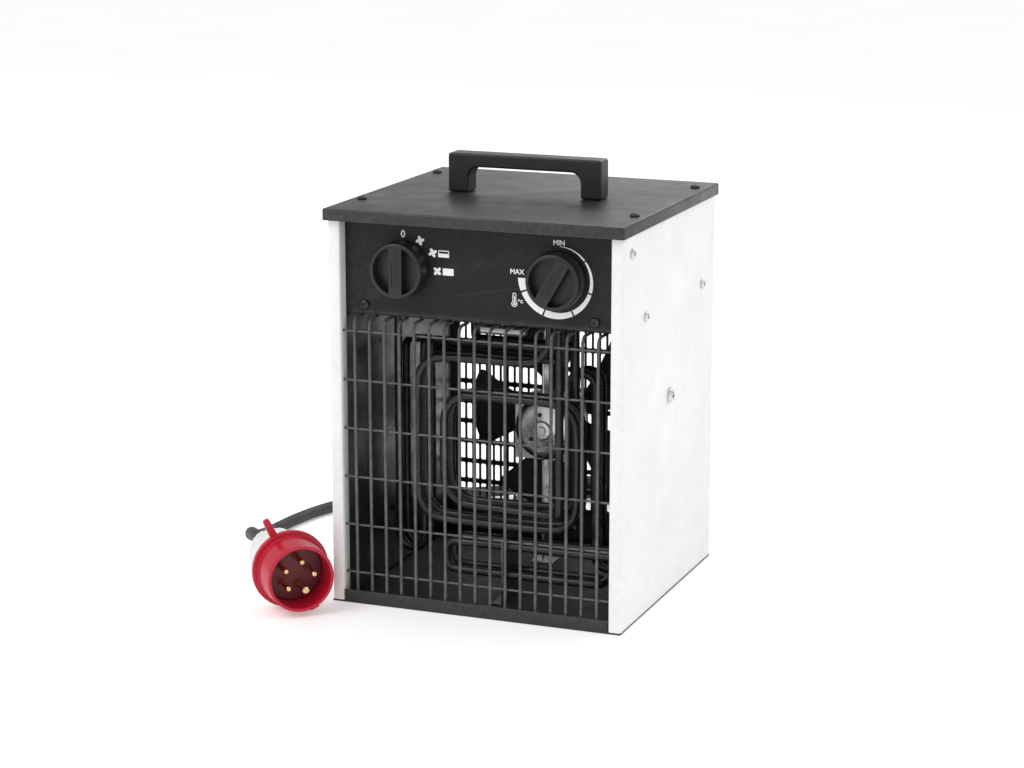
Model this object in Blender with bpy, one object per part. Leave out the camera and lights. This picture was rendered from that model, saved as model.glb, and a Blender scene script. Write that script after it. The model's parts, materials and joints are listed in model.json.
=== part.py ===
"""Electric fan heater: a folded sheet-steel case with tubular elements, an axial fan, two rotary
controls, and a power lead with a five-pin plug.

Metres, +Z up, front towards -Y, origin under the middle of the case."""

import math

import bmesh
import bpy
from mathutils import Matrix, Vector

# ---------------------------------------------------------------- case
CASE_HEIGHT = 0.3666  # floor to the top of the lid
LID_WIDTH = 0.2850
LID_DEPTH = 0.2728
LID_FLANGE = 0.0107
LID_EDGE = 0.0014  # rounding of the lid's pressed edges
SIDE_OVERHANG = 0.0023  # lid past the side panels
FRONT_OVERHANG = 0.0057
REAR_OVERHANG = 0.0024
SHEET = 0.0012
BASE_SHEET = 0.0014
SHIELD_SHEET = 0.0008
BEND = 0.0018  # middle radius of a fold
FLANGE_WIDTH = 0.0117  # front and rear flanges of the side panels
RETURN_DEPTH = 0.0127  # the front flange's fold back into the case
TOP_FLANGE = 0.0150
LIP_HEIGHT = 0.0124
COMPARTMENT = 0.0966  # height of the wiring compartment, with its floor and the lid
CHAMBER_HEIGHT = CASE_HEIGHT - COMPARTMENT  # top face of the compartment floor
FLOOR_FLANGE = 0.0140
SHIELD_SPACE = 0.0090  # between a side panel and its heat shield
GAP = 0.0003  # between pieces that touch
HOLE_CLEARANCE = 0.0003  # round a shank in its hole

# ---------------------------------------------------------------- control panel
PANEL_BOTTOM = CHAMBER_HEIGHT + 0.0031
PANEL_TOP_GAP = 0.0020
PANEL_FLANGE = 0.0140
CONTROL_Z = PANEL_BOTTOM + 0.0407
MODE_INSET = 0.0560  # from the left flange
THERMOSTAT_INSET = 0.0528  # from the right flange
PANEL_SCREW_INSET = 0.0185
PANEL_SCREW_Z = PANEL_BOTTOM + 0.0051
KNOB_DIAMETER = 0.0515
KNOB_HEIGHT = 0.0165
KNOB_CLEARANCE = 0.0009
KNOB_RIM = 0.0032
KNOB_RECESS = 0.0090
RIDGE_WIDTH = 0.0125
RIDGE_RISE = 0.0014
SHAFT_DIAMETER = 0.0060
SHAFT_IN_KNOB = 0.0100
SHAFT_IN_SWITCH = 0.0180
SHAFT_CLEARANCE = 0.0003
THERMOSTAT_REST = math.radians(30)  # where its pointer stands, clockwise from the top

# ---------------------------------------------------------------- guard, grille and chamber
WIRE = 0.0030
CROSS_WIRE = 0.0022
WIRE_COUNT = 17
WIRE_MARGIN = 0.0121  # from the flange to the outermost upright wire
WIRE_Y = -0.1268
WIRE_WELD = 0.0006  # how far an upright wire sinks into a cross wire
WIRE_HOOK = 0.0200
CROSS_LOWEST = 0.0281
CROSS_COUNT = 6
CROSS_MARGIN = 0.0154  # from the top cross wire to the compartment floor
CROSS_PITCH = (CHAMBER_HEIGHT - CROSS_LOWEST - CROSS_MARGIN) / (CROSS_COUNT - 1)
SLOT_ROWS = 11
SLOT_LOWEST = 0.0410
SLOT_TOP_MARGIN = 0.0035
SLOT_ROW_PITCH = (CHAMBER_HEIGHT - SLOT_LOWEST - SLOT_TOP_MARGIN) / SLOT_ROWS
SLOT_HEIGHT = SLOT_ROW_PITCH - 0.0045
SLOT_COLUMNS = 11
SLOT_SIDE_MARGIN = 0.015775  # from the panel's edge to the outermost slot
SLOT_BAR = 0.00215  # sheet left between two slots
ELEMENT = 0.0085
ELEMENT_TOP = CHAMBER_HEIGHT + 0.0180
ELEMENT_BEND = 0.0125
FRONT_LOOP_Y = -0.0750
REAR_LOOP_Y = -0.0580
LOOP_TOP = CHAMBER_HEIGHT - 0.0440
LOOP_BOTTOM = 0.0720
LOOP_INSET = 0.0520  # from a heat shield to the outer loop
LOOP_SPACING = 0.0260  # from the outer loop to the inner one
INNER_TOP = CHAMBER_HEIGHT - 0.0780
INNER_BOTTOM = 0.0880
LOOP_BEND = (INNER_TOP - INNER_BOTTOM) / 4
LOOP_OUT = 0.0120  # from the leg of the inner loop to the outer loop
FRONT_LEG_STEP = -0.0130  # from a loop's plane to its leg
REAR_LEG_STEP = 0.0125
LEG_BEND = 0.0080
SIDE_ROW = REAR_LOOP_Y + REAR_LEG_STEP + ELEMENT + 0.0010
SIDE_ROWS = (SIDE_ROW, SIDE_ROW + 0.0180)  # y of the upright hairpins
LOWER_ROWS = (-0.0820, -0.0620)
LOWER_Z = (0.0280, 0.0550)
LOWER_LEFT = -0.0470
LOWER_LEG_INSET = 0.0100
LOWER_RIGHT_INSET = 0.0260
SIDE_LEFT_INSET = 0.0160
SIDE_RIGHT_INSET = 0.0220
HAIRPIN_PITCH = 2 * ELEMENT_BEND + 0.001
HAIRPIN_BOTTOM = 0.0290
LEFT_HAIRPIN_TOP = CHAMBER_HEIGHT - 0.0470
RIGHT_HAIRPIN_TOP = CHAMBER_HEIGHT - 0.0580
RIGHT_TURN_BOTTOM = 0.0700
UPPER_ROWS = (0.0, 0.0200)
UPPER_Z = (CHAMBER_HEIGHT - 0.0570, CHAMBER_HEIGHT - 0.0460)
UPPER_ENDS = (-0.1040, 0.0410)
UPPER_LEG_X = -0.0600
UPPER_BEND = 0.0053
SUPPORT_X = 0.0120
SUPPORT_REACH = 0.0110  # of the support past the outermost legs
SUPPORT_FOOT = 0.0100

# ---------------------------------------------------------------- fan and motor
FAN_Z = CHAMBER_HEIGHT / 2 - 0.0010
FAN_ABOVE_BASE = 0.0370  # from the floor to the blades' tip circle
FAN_RADIUS = FAN_Z - FAN_ABOVE_BASE
FAN_BLADES = 5
BLADE_FIRST = 35.0  # degrees anticlockwise from the right, seen from the front
BLADE_ARC = 52.0
BLADE_PITCH = 0.0150  # how far a blade reaches along the axis
BLADE_SHEET = 0.0016
BLADE_CAMBER = 0.0030
HUB_RADIUS = 0.0230
HUB_FRONT = 0.0945
HUB_BACK = 0.1160
MOTOR_FRONT = 0.0400
MOTOR_BACK = 0.0850
MOTOR_SIDE = 0.0580
BELL_RADIUS = 0.0300
BELL_DEPTH = 0.0105
ROTOR_RADIUS = 0.0165
ROTOR_CLEARANCE = 0.0006
MOTOR_SHAFT = 0.0080
BRACKET_SHEET = 0.0020
ARM_DEPTH = 0.0130

# ---------------------------------------------------------------- handle
HANDLE_LENGTH = 0.1500
HANDLE_DEPTH = 0.0210
HANDLE_HEIGHT = 0.0362
HANDLE_Y = 0.0035
HANDLE_LEG = 0.0200
HANDLE_BAR = 0.0125
HANDLE_INSIDE_RADIUS = 0.0100
HANDLE_OUTSIDE_RADIUS = 0.0025

# ---------------------------------------------------------------- thermostat bulb and wiring pieces
BULB_X = 0.0150
BULB_Y = -0.0960
BULB_Z = CHAMBER_HEIGHT - 0.0100
BULB_RADIUS = 0.0045
BULB_HALF = 0.0220
CAPILLARY = 0.0022

# ---------------------------------------------------------------- power lead
CORD = 0.0115
GLAND_INSET = 0.0467  # from the side panel
GLAND_Z = CHAMBER_HEIGHT + 0.0300
GLAND_RADIUS = 0.0125
GLAND_LENGTH = 0.0180
RELIEF_LENGTH = 0.0250
COIL_STEP = (-0.1220, 0.0940)  # from the gland and the case's rear face to the coil's middle
COIL_OUTSIDE = 0.07785 - CORD / 2
COIL_RADIUS = COIL_OUTSIDE - CORD - 2 * GAP  # middle of the turns
COIL_LAYERS = 2
ON_FLOOR = CORD / 2 + 0.00045  # middle of a lead that lies on the floor
PLUG_OUT = 0.0038  # from the case's side to the middle of the plug's mouth
PLUG_AHEAD = 0.0573  # from the case's front to the plug's mouth
PLUG_Z = 0.0363
PLUG_FACING = (0.6750, -0.7380, 0.0)
PLUG_ROLL = math.radians(25)
PLUG_RIM = 0.0310
PLUG_BORE = 0.0277
PLUG_FLANGE = 0.0360
PLUG_FLANGE_BACK = -0.0380
PIN_CIRCLE = 0.0142
PIN = 0.0050
EARTH_PIN = 0.0070
PLUG_END = -0.1285

# ---------------------------------------------------------------- values that follow
SIDE_X = LID_WIDTH / 2 - SIDE_OVERHANG
FRONT_Y = FRONT_OVERHANG - LID_DEPTH / 2
REAR_Y = LID_DEPTH / 2 - REAR_OVERHANG
RETURN_X = SIDE_X - FLANGE_WIDTH
INSIDE_X = SIDE_X - SHEET - GAP  # what fits between the side panels
PANEL_Y = FRONT_Y + RETURN_DEPTH + GAP  # front face of the control panel
FLOOR_Y = PANEL_Y + SHEET + GAP
REAR_PANEL_BACK = REAR_Y - SHEET - GAP
REAR_PANEL_FRONT = REAR_PANEL_BACK - SHEET
UNDER_LID = CASE_HEIGHT - SHEET - GAP
ON_BASE = BASE_SHEET + GAP
SHIELD_X = SIDE_X - SHEET - SHIELD_SPACE  # outer face of a heat shield
CROSS_Y = WIRE_Y + (WIRE + CROSS_WIRE) / 2 - WIRE_WELD
SEAT = 0.0120  # thread length of the small screws
LOW_SIDE_SCREW_Z = CHAMBER_HEIGHT + 0.0066
SIDE_SCREWS = ((-0.1089, CASE_HEIGHT - 0.0271), (-0.0697, LOW_SIDE_SCREW_Z), (0.0941, LOW_SIDE_SCREW_Z))
SIDE_BOLT = (0.0013, CHAMBER_HEIGHT - 0.0804)
LID_SCREWS = (-0.0760, 0.0980)
LID_SCREW_X = SIDE_X - 0.0092
REAR_SCREW_X = SIDE_X - 0.0062
REAR_SCREW_Z = CHAMBER_HEIGHT + 0.0250
MODE_X = MODE_INSET - RETURN_X
THERMOSTAT_X = RETURN_X - THERMOSTAT_INSET
PANEL_SCREW_X = RETURN_X - PANEL_SCREW_INSET
WIRE_PITCH = 2 * (RETURN_X - WIRE_MARGIN) / (WIRE_COUNT - 1)
SLOT_PITCH = 2 * (INSIDE_X - SLOT_SIDE_MARGIN) / SLOT_COLUMNS
SLOT_WIDTH = SLOT_PITCH - SLOT_BAR
LOOP_HALF = SHIELD_X - LOOP_INSET
INNER_HALF = LOOP_HALF - LOOP_SPACING
LOOP_OUT_X = LOOP_HALF - LOOP_OUT
SIDE_LEFT_X = SIDE_LEFT_INSET - SHIELD_X
SIDE_RIGHT_X = SHIELD_X - SIDE_RIGHT_INSET
LOWER_LEG_X = SHIELD_X - LOWER_LEG_INSET
LOWER_RIGHT_X = SHIELD_X - LOWER_RIGHT_INSET
GLAND_X = INSIDE_X - GLAND_INSET
COIL_CENTRE = (GLAND_X + COIL_STEP[0], REAR_Y + COIL_STEP[1])
PLUG_MOUTH = (-SIDE_X - PLUG_OUT, FRONT_Y - PLUG_AHEAD, PLUG_Z)
HANDLE_SCREW_X = (HANDLE_LENGTH - HANDLE_LEG) / 2
ALONG_X = Matrix(((0, 0, 1, 0), (1, 0, 0, 0), (0, 1, 0, 0), (0, 0, 0, 1)))  # carries XY to YZ and +Z to +X

# ---------------------------------------------------------------- routes of the lead
# Steps from the gland's x and the case's rear face. The heights hold for a gland at DRAWN_GLAND_Z, and
# the upright run between the two heights of RUN takes up any other.
DRAWN_GLAND_Z = 0.3000
RUN = (0.0950, 0.2300)
EXIT_STEPS = (
    (0.0, 0.0424, 0.3000),
    (0.0, 0.0580, 0.3000),
    (0.0, 0.0740, 0.2955),
    (0.0, 0.0880, 0.2840),
    (0.0, 0.0978, 0.2700),
    (0.0, 0.1022, 0.2530),
    (0.0, 0.1030, 0.2300),
    (0.0, 0.1030, 0.1850),
    (0.0, 0.1030, 0.1400),
    (0.0, 0.1030, 0.0950),
    (-0.0004, 0.1032, 0.0640),
    (-0.0070, 0.1068, 0.0338),
    (-0.0240, 0.1160, 0.0135),
    (-0.0483, 0.1292, ON_FLOOR),
    (-0.0540, 0.1323, ON_FLOOR),
)
# Steps from the coil's middle. They hold for a mouth at DRAWN_SPAN from it, and each point takes its
# share of any other span.
DRAWN_SPAN = (-0.1140, -0.4160)
PLUG_STEPS = (
    (-0.0780, 0.0310, ON_FLOOR + 0.0038, 0.0),
    (-0.1200, 0.0120, ON_FLOOR, 0.1),
    (-0.1630, -0.0100, ON_FLOOR, 0.2),
    (-0.2000, -0.0380, ON_FLOOR, 0.3),
    (-0.2270, -0.0720, ON_FLOOR, 0.4),
    (-0.2430, -0.1100, ON_FLOOR, 0.5),
    (-0.2515, -0.1500, ON_FLOOR, 0.6),
    (-0.2545, -0.1900, ON_FLOOR + 0.0006, 0.7),
    (-0.2515, -0.2280, ON_FLOOR + 0.0053, 0.8),
    (-0.2435, -0.2610, ON_FLOOR + 0.0153, 0.9),
    (-0.2300, -0.2870, ON_FLOOR + 0.0263, 1.0),
    (-0.2145, -0.3061, PLUG_Z, 1.0),
    (-0.2011, -0.3208, PLUG_Z, 1.0),
)

# colour, roughness, metallic
FINISHES = {
    "white_paint": ((0.84, 0.84, 0.83), 0.38, 0.0),
    "black_paint": ((0.030, 0.031, 0.032), 0.42, 0.0),
    "panel_black": ((0.012, 0.012, 0.012), 0.50, 0.0),
    "galvanised": ((0.36, 0.37, 0.37), 0.38, 1.0),
    "guard_wire": ((0.055, 0.065, 0.062), 0.40, 0.3),
    "element_steel": ((0.085, 0.080, 0.074), 0.42, 0.9),
    "bright_steel": ((0.62, 0.62, 0.60), 0.28, 1.0),
    "dark_screw": ((0.060, 0.060, 0.062), 0.40, 0.8),
    "white_screw": ((0.70, 0.70, 0.69), 0.35, 0.4),
    "aluminium": ((0.70, 0.70, 0.68), 0.25, 1.0),
    "fan_black": ((0.020, 0.020, 0.021), 0.50, 0.2),
    "black_plastic": ((0.022, 0.022, 0.022), 0.45, 0.0),
    "switch_plastic": ((0.10, 0.10, 0.10), 0.50, 0.0),
    "block_plastic": ((0.70, 0.68, 0.60), 0.50, 0.0),
    "nickel": ((0.45, 0.45, 0.43), 0.30, 1.0),
    "cord_rubber": ((0.030, 0.030, 0.030), 0.60, 0.0),
    "plug_red": ((0.58, 0.010, 0.030), 0.30, 0.0),
    "plug_grey": ((0.62, 0.62, 0.61), 0.40, 0.0),
    "brass": ((0.72, 0.52, 0.22), 0.28, 1.0),
}


# ---------------------------------------------------------------- helpers
def clear_scene():
    for old in list(bpy.data.objects):
        bpy.data.objects.remove(old, do_unlink=True)


def material(finish):
    found = bpy.data.materials.get(finish)
    if found:
        return found
    colour, roughness, metallic = FINISHES[finish]
    made = bpy.data.materials.new(finish)
    made.use_nodes = True
    shader = made.node_tree.nodes["Principled BSDF"]
    shader.inputs["Base Color"].default_value = (*colour, 1)
    shader.inputs["Roughness"].default_value = roughness
    shader.inputs["Metallic"].default_value = metallic
    return made


def box(low, high):
    bm = bmesh.new()
    size = Vector(high) - Vector(low)
    middle = (Vector(high) + Vector(low)) / 2
    matrix = Matrix.Translation(middle) @ Matrix.Diagonal((*size, 1))
    bmesh.ops.create_cube(bm, size=1, matrix=matrix)
    return bm


def prism(outline, low, high, turn=None):
    """The outline in XY, extruded from z = low to z = high, then turned."""
    bm = bmesh.new()
    bottom = bm.faces.new([bm.verts.new((x, y, low)) for x, y in outline])
    made = bmesh.ops.extrude_face_region(bm, geom=[bottom])["geom"]
    top = [item for item in made if isinstance(item, bmesh.types.BMVert)]
    bmesh.ops.translate(bm, verts=top, vec=(0, 0, high - low))
    bmesh.ops.recalc_face_normals(bm, faces=bm.faces)
    if turn:
        bm.transform(turn)
    return bm


def turned(profile, sides, turn, closed=False):
    """A solid of revolution about Z, from (radius, height) pairs up the outside or round a closed ring."""
    bm = bmesh.new()
    angles = [2 * math.pi * step / sides for step in range(sides)]
    rings = []
    for radius, height in profile:
        spots = angles if radius else angles[:1]
        rings.append([bm.verts.new((radius * math.cos(a), radius * math.sin(a), height)) for a in spots])
    pairs = list(zip(rings, rings[1:] + rings[:1]))
    for lower, upper in pairs if closed else pairs[:-1]:
        for step in range(sides):
            after = (step + 1) % sides
            corners = [lower[step % len(lower)], lower[after % len(lower)]]
            corners += [upper[after % len(upper)], upper[step % len(upper)]]
            bm.faces.new(list(dict.fromkeys(corners)))
    bmesh.ops.recalc_face_normals(bm, faces=bm.faces)
    bm.transform(turn)
    return bm


def placed(at, direction, roll=0.0):
    """Carries +Z to the direction and +Y to the way nearest to up."""
    turn = Vector(direction).to_track_quat("Z", "Y").to_matrix().to_4x4()
    return Matrix.Translation(at) @ turn @ Matrix.Rotation(roll, 4, "Z")


def cylinder(start, end, radius, sides=16):
    span = Vector(end) - Vector(start)
    profile = [(0, 0), (radius, 0), (radius, span.length), (0, span.length)]
    return turned(profile, sides, placed(start, span))


def rounded(corners, radius, steps=4):
    """The corners' path with an arc at each corner between its ends."""
    corners = [Vector(corner) for corner in corners]
    path = [corners[0]]
    for before, corner, after in zip(corners, corners[1:], corners[2:]):
        back = (before - corner).normalized()
        ahead = (after - corner).normalized()
        half = back.angle(ahead) / 2
        turn = math.pi - 2 * half
        centre = corner + (back + ahead).normalized() * radius / math.sin(half)
        first = corner + back * radius / math.tan(half) - centre
        last = corner + ahead * radius / math.tan(half) - centre
        for step in range(steps + 1):
            share = step / steps
            blend = first * math.sin((1 - share) * turn) + last * math.sin(share * turn)
            path.append(centre + blend / math.sin(turn))
    return path + [corners[-1]]


def sides_of(path, thickness):
    """The two edges of a strip of this thickness along a flat path."""
    edges = ([], [])
    for index, spot in enumerate(path):
        before = (spot - path[index - 1]).normalized() if index else None
        after = (path[index + 1] - spot).normalized() if index + 1 < len(path) else before
        before = before or after
        across = (before + after).normalized().orthogonal()
        reach = thickness / 2 / across.dot(before.orthogonal())
        edges[0].append(spot + across * reach)
        edges[1].append(spot - across * reach)
    return edges


def folded(corners, thickness):
    """The outline of a sheet folded at the corners of its middle line."""
    left, right = sides_of(rounded([Vector(corner) for corner in corners], BEND, 2), thickness)
    return left + right[::-1]


def wire(path, across, diameter, sides=6):
    """A round wire along a flat path that lies square to the direction across."""
    bm = bmesh.new()
    across = Vector(across)
    rings = []
    for index, spot in enumerate(path):
        before = (spot - path[index - 1]).normalized() if index else None
        after = (path[index + 1] - spot).normalized() if index + 1 < len(path) else before
        before = before or after
        side = across.cross((before + after).normalized())
        stretch = 1 / max(0.5, side.dot(across.cross(before)))
        ring = []
        for step in range(sides):
            angle = 2 * math.pi * (step + 0.5) / sides
            offset = side * stretch * math.cos(angle) + across * math.sin(angle)
            ring.append(bm.verts.new(spot + offset * diameter / 2))
        rings.append(ring)
    for lower, upper in zip(rings, rings[1:]):
        for step in range(sides):
            after = (step + 1) % sides
            bm.faces.new([lower[step], lower[after], upper[after], upper[step]])
    bm.faces.new(rings[0][::-1])
    bm.faces.new(rings[-1])
    bmesh.ops.recalc_face_normals(bm, faces=bm.faces)
    return bm


def together(pieces):
    """Separate shapes as one mesh."""
    whole = bmesh.new()
    for piece in pieces:
        mesh = bpy.data.meshes.new("piece")
        piece.to_mesh(mesh)
        piece.free()
        whole.from_mesh(mesh)
        bpy.data.meshes.remove(mesh)
    return whole


def to_mesh(name, bm):
    mesh = bpy.data.meshes.new(name)
    bm.to_mesh(mesh)
    bm.free()
    return mesh


def node(name, bm, finish, origin=(0, 0, 0)):
    """One piece of the heater, with its origin where it turns or is set."""
    bm.transform(Matrix.Translation(-Vector(origin)))
    mesh = to_mesh(name, bm)
    mesh.shade_smooth()
    mesh.set_sharp_from_angle(angle=math.radians(35))
    mesh.materials.append(material(finish))
    obj = bpy.data.objects.new(name, mesh)
    obj.location = origin
    bpy.context.scene.collection.objects.link(obj)
    return obj


def shape_with(obj, bm, operation):
    """A Boolean on the piece by a hidden helper."""
    label = f"{obj.name}_{operation.lower()}_{len(obj.modifiers) + 1}"
    helper = bpy.data.objects.new(label, to_mesh(label, bm))
    helper.hide_render = True
    helper.display_type = "WIRE"
    bpy.context.scene.collection.objects.link(helper)
    modifier = obj.modifiers.new(label, "BOOLEAN")
    modifier.operation = operation
    modifier.object = helper
    modifier.solver = "EXACT"


def cut(obj, bm):
    shape_with(obj, bm, "DIFFERENCE")


def join(obj, bm):
    shape_with(obj, bm, "UNION")


def tube(name, points, diameter, finish):
    """A round tube with closed ends along the points."""
    curve = bpy.data.curves.new(name, "CURVE")
    curve.dimensions = "3D"
    curve.bevel_depth = diameter / 2
    curve.bevel_resolution = 2
    curve.use_fill_caps = True
    spline = curve.splines.new("POLY")
    spline.points.add(len(points) - 1)
    for spot, point in zip(spline.points, points):
        spot.co = (*point, 1)
    spline.use_smooth = True
    curve.materials.append(material(finish))
    obj = bpy.data.objects.new(name, curve)
    bpy.context.scene.collection.objects.link(obj)
    return obj


def smooth_route(points, spacing):
    """Evenly spaced points on the smooth curve through the route's own points."""
    points = [Vector(point) for point in points]
    padded = [2 * points[0] - points[1], *points, 2 * points[-1] - points[-2]]
    fine = []
    for a, b, c, d in zip(padded, padded[1:], padded[2:], padded[3:]):
        slope = c - a
        bend = 2 * a - 5 * b + 4 * c - d
        twist = 3 * b - a - 3 * c + d
        for step in range(20):
            t = step / 20
            fine.append(b + (slope * t + bend * t**2 + twist * t**3) / 2)
    fine.append(points[-1])
    length = sum((after - before).length for before, after in zip(fine, fine[1:]))
    count = max(2, round(length / spacing))
    even = [fine[0]]
    travelled = 0.0
    for before, after in zip(fine, fine[1:]):
        travelled += (after - before).length
        if travelled >= len(even) * length / count and len(even) < count:
            even.append(after)
    return even + [fine[-1]]


# ---------------------------------------------------------------- screws
def screw(name, at, inward, head=0.0088, thickness=0.0026, shank=0.0032, length=SEAT, finish="dark_screw"):
    """A domed screw whose head sits on the surface at this point."""
    profile = [
        (0, -length),
        (shank / 2, -length),
        (shank / 2, 0),
        (head / 2, 0),
        (head / 2, thickness * 0.35),
        (head * 0.32, thickness * 0.9),
        (0, thickness),
    ]
    outward = -Vector(inward)
    seat = Vector(at) + outward * GAP
    return node(name, turned(profile, 10, placed(seat, outward)), finish, origin=at)


def screw_hole(at, axis, shank=0.0032, reach=0.0100):
    """A cutter for the hole of a screw, through whatever lies at this point."""
    way = Vector(axis) * reach
    return cylinder(Vector(at) - way, Vector(at) + way, shank / 2 + HOLE_CLEARANCE, 10)


def side_screw_spots(side):
    return [(side * SIDE_X, y, z) for y, z in SIDE_SCREWS]


# ---------------------------------------------------------------- case
def make_base_tray():
    tray = node("base_tray", box((-SIDE_X, FRONT_Y, 0), (SIDE_X, REAR_Y, BASE_SHEET)), "black_paint")
    inside = BASE_SHEET / 2
    front_half = RETURN_X - GAP
    join(tray, box((-front_half, FRONT_Y, inside), (front_half, FRONT_Y + SHEET, LIP_HEIGHT)))
    rear = REAR_PANEL_FRONT - GAP
    join(tray, box((-INSIDE_X, rear - SHEET, inside), (INSIDE_X, rear, LIP_HEIGHT)))
    for side in (-1, 1):
        near, far = sorted((side * (INSIDE_X - SHEET), side * INSIDE_X))
        join(tray, box((near, PANEL_Y + SHEET, inside), (far, rear - SHEET / 2, LIP_HEIGHT)))


def make_side_panel(name, side):
    """A folded channel with a front flange and its return, a rear flange and a top flange."""
    middle = SIDE_X - SHEET / 2
    front = FRONT_Y + SHEET / 2
    corners = [
        (RETURN_X + SHEET / 2, FRONT_Y + RETURN_DEPTH),
        (RETURN_X + SHEET / 2, front),
        (middle, front),
        (middle, REAR_Y - SHEET / 2),
        (RETURN_X, REAR_Y - SHEET / 2),
    ]
    outline = folded(corners, SHEET)
    panel = node(name, prism(outline, ON_BASE, UNDER_LID, Matrix.Diagonal((side, 1, 1, 1))), "white_paint")
    if side < 0:
        panel.data.flip_normals()
    near, far = sorted((side * (SIDE_X - TOP_FLANGE), side * middle))
    flange_front = FRONT_Y + RETURN_DEPTH + 0.016
    join(panel, box((near, flange_front, UNDER_LID - SHEET), (far, REAR_PANEL_FRONT - 0.006, UNDER_LID)))
    cuts = [screw_hole(spot, (1, 0, 0)) for spot in side_screw_spots(side)]
    cuts.append(screw_hole((side * SIDE_X, *SIDE_BOLT), (1, 0, 0), shank=0.0060))
    cuts += [screw_hole((side * LID_SCREW_X, y, UNDER_LID), (0, 0, 1)) for y in LID_SCREWS]
    cuts.append(screw_hole((side * REAR_SCREW_X, REAR_Y, REAR_SCREW_Z), (0, 1, 0)))
    for row in range(CROSS_COUNT):
        spot = (side * RETURN_X, CROSS_Y, cross_z(row))
        cuts.append(screw_hole(spot, (1, 0, 0), shank=CROSS_WIRE, reach=0.004))
    cut(panel, together(cuts))


def make_top_cover():
    half = (LID_WIDTH / 2, LID_DEPTH / 2)
    outer = box((-half[0], -half[1], CASE_HEIGHT - LID_FLANGE), (half[0], half[1], CASE_HEIGHT))
    pressed = [edge for edge in outer.edges if max(v.co.z for v in edge.verts) > CASE_HEIGHT - 1e-5]
    bmesh.ops.bevel(outer, geom=pressed, offset=LID_EDGE, segments=2, profile=0.5, affect="EDGES")
    cover = node("top_cover", outer, "black_paint")
    inner = (half[0] - SHEET, half[1] - SHEET)
    under = CASE_HEIGHT - SHEET
    cut(cover, box((-inner[0], -inner[1], under - 0.03), (inner[0], inner[1], under)))
    spots = [(side * LID_SCREW_X, y, CASE_HEIGHT) for side in (-1, 1) for y in LID_SCREWS]
    spots += [(side * HANDLE_SCREW_X, HANDLE_Y, CASE_HEIGHT) for side in (-1, 1)]
    cut(cover, together([screw_hole(spot, (0, 0, 1)) for spot in spots]))


def make_rear_panel():
    half = INSIDE_X - BEND
    low = (-half, REAR_PANEL_FRONT, ON_BASE)
    panel = node("rear_panel", box(low, (half, REAR_PANEL_BACK, UNDER_LID)), "black_paint")
    slots = []
    for row in range(SLOT_ROWS):
        z = SLOT_LOWEST + row * SLOT_ROW_PITCH
        for column in range(SLOT_COLUMNS):
            x = (column - (SLOT_COLUMNS - 1) / 2) * SLOT_PITCH
            start = (x - SLOT_WIDTH / 2, REAR_PANEL_FRONT - 0.005, z - SLOT_HEIGHT / 2)
            slots.append(box(start, (x + SLOT_WIDTH / 2, REAR_PANEL_BACK + 0.005, z + SLOT_HEIGHT / 2)))
    slots += [screw_hole((side * REAR_SCREW_X, REAR_Y, REAR_SCREW_Z), (0, 1, 0)) for side in (-1, 1)]
    cut(panel, together(slots))


def make_control_panel():
    """A folded face whose top flange runs back under the lid and whose ends fold back at the sides."""
    top = UNDER_LID - PANEL_TOP_GAP
    face = PANEL_Y + SHEET / 2
    outline = folded([(face, PANEL_BOTTOM), (face, top), (face + PANEL_FLANGE, top)], SHEET)
    panel = node("control_panel", prism(outline, -INSIDE_X + BEND, INSIDE_X - BEND, ALONG_X), "panel_black")
    for side in (-1, 1):
        near, far = sorted((side * (INSIDE_X - BEND - SHEET), side * (INSIDE_X - BEND + SHEET / 2)))
        low = (near, PANEL_Y + SHEET / 3, PANEL_BOTTOM + FLOOR_FLANGE)
        join(panel, box(low, (far, PANEL_Y + PANEL_FLANGE, top - SHEET / 2)))
    cuts = [screw_hole((side * PANEL_SCREW_X, PANEL_Y, PANEL_SCREW_Z), (0, 1, 0)) for side in (-1, 1)]
    cuts += [screw_hole((x, PANEL_Y, CONTROL_Z), (0, 1, 0), shank=0.0085) for x in (MODE_X, THERMOSTAT_X)]
    cuts += [screw_hole(side_screw_spots(side)[0], (1, 0, 0)) for side in (-1, 1)]
    cut(panel, together(cuts))


def element_legs():
    """Where the elements pass up through the compartment floor."""
    loops = [(INNER_HALF, FRONT_LOOP_Y), (LOOP_OUT_X, FRONT_LOOP_Y + FRONT_LEG_STEP)]
    loops += [(INNER_HALF, REAR_LOOP_Y), (LOOP_OUT_X, REAR_LOOP_Y + REAR_LEG_STEP)]
    left = [(SIDE_LEFT_X, SIDE_ROWS[0]), (UPPER_LEG_X, UPPER_ROWS[1])]
    right = [(SIDE_RIGHT_X, y) for y in SIDE_ROWS]
    return loops + left + right + [(LOWER_LEG_X, y) for y in LOWER_ROWS]


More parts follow.
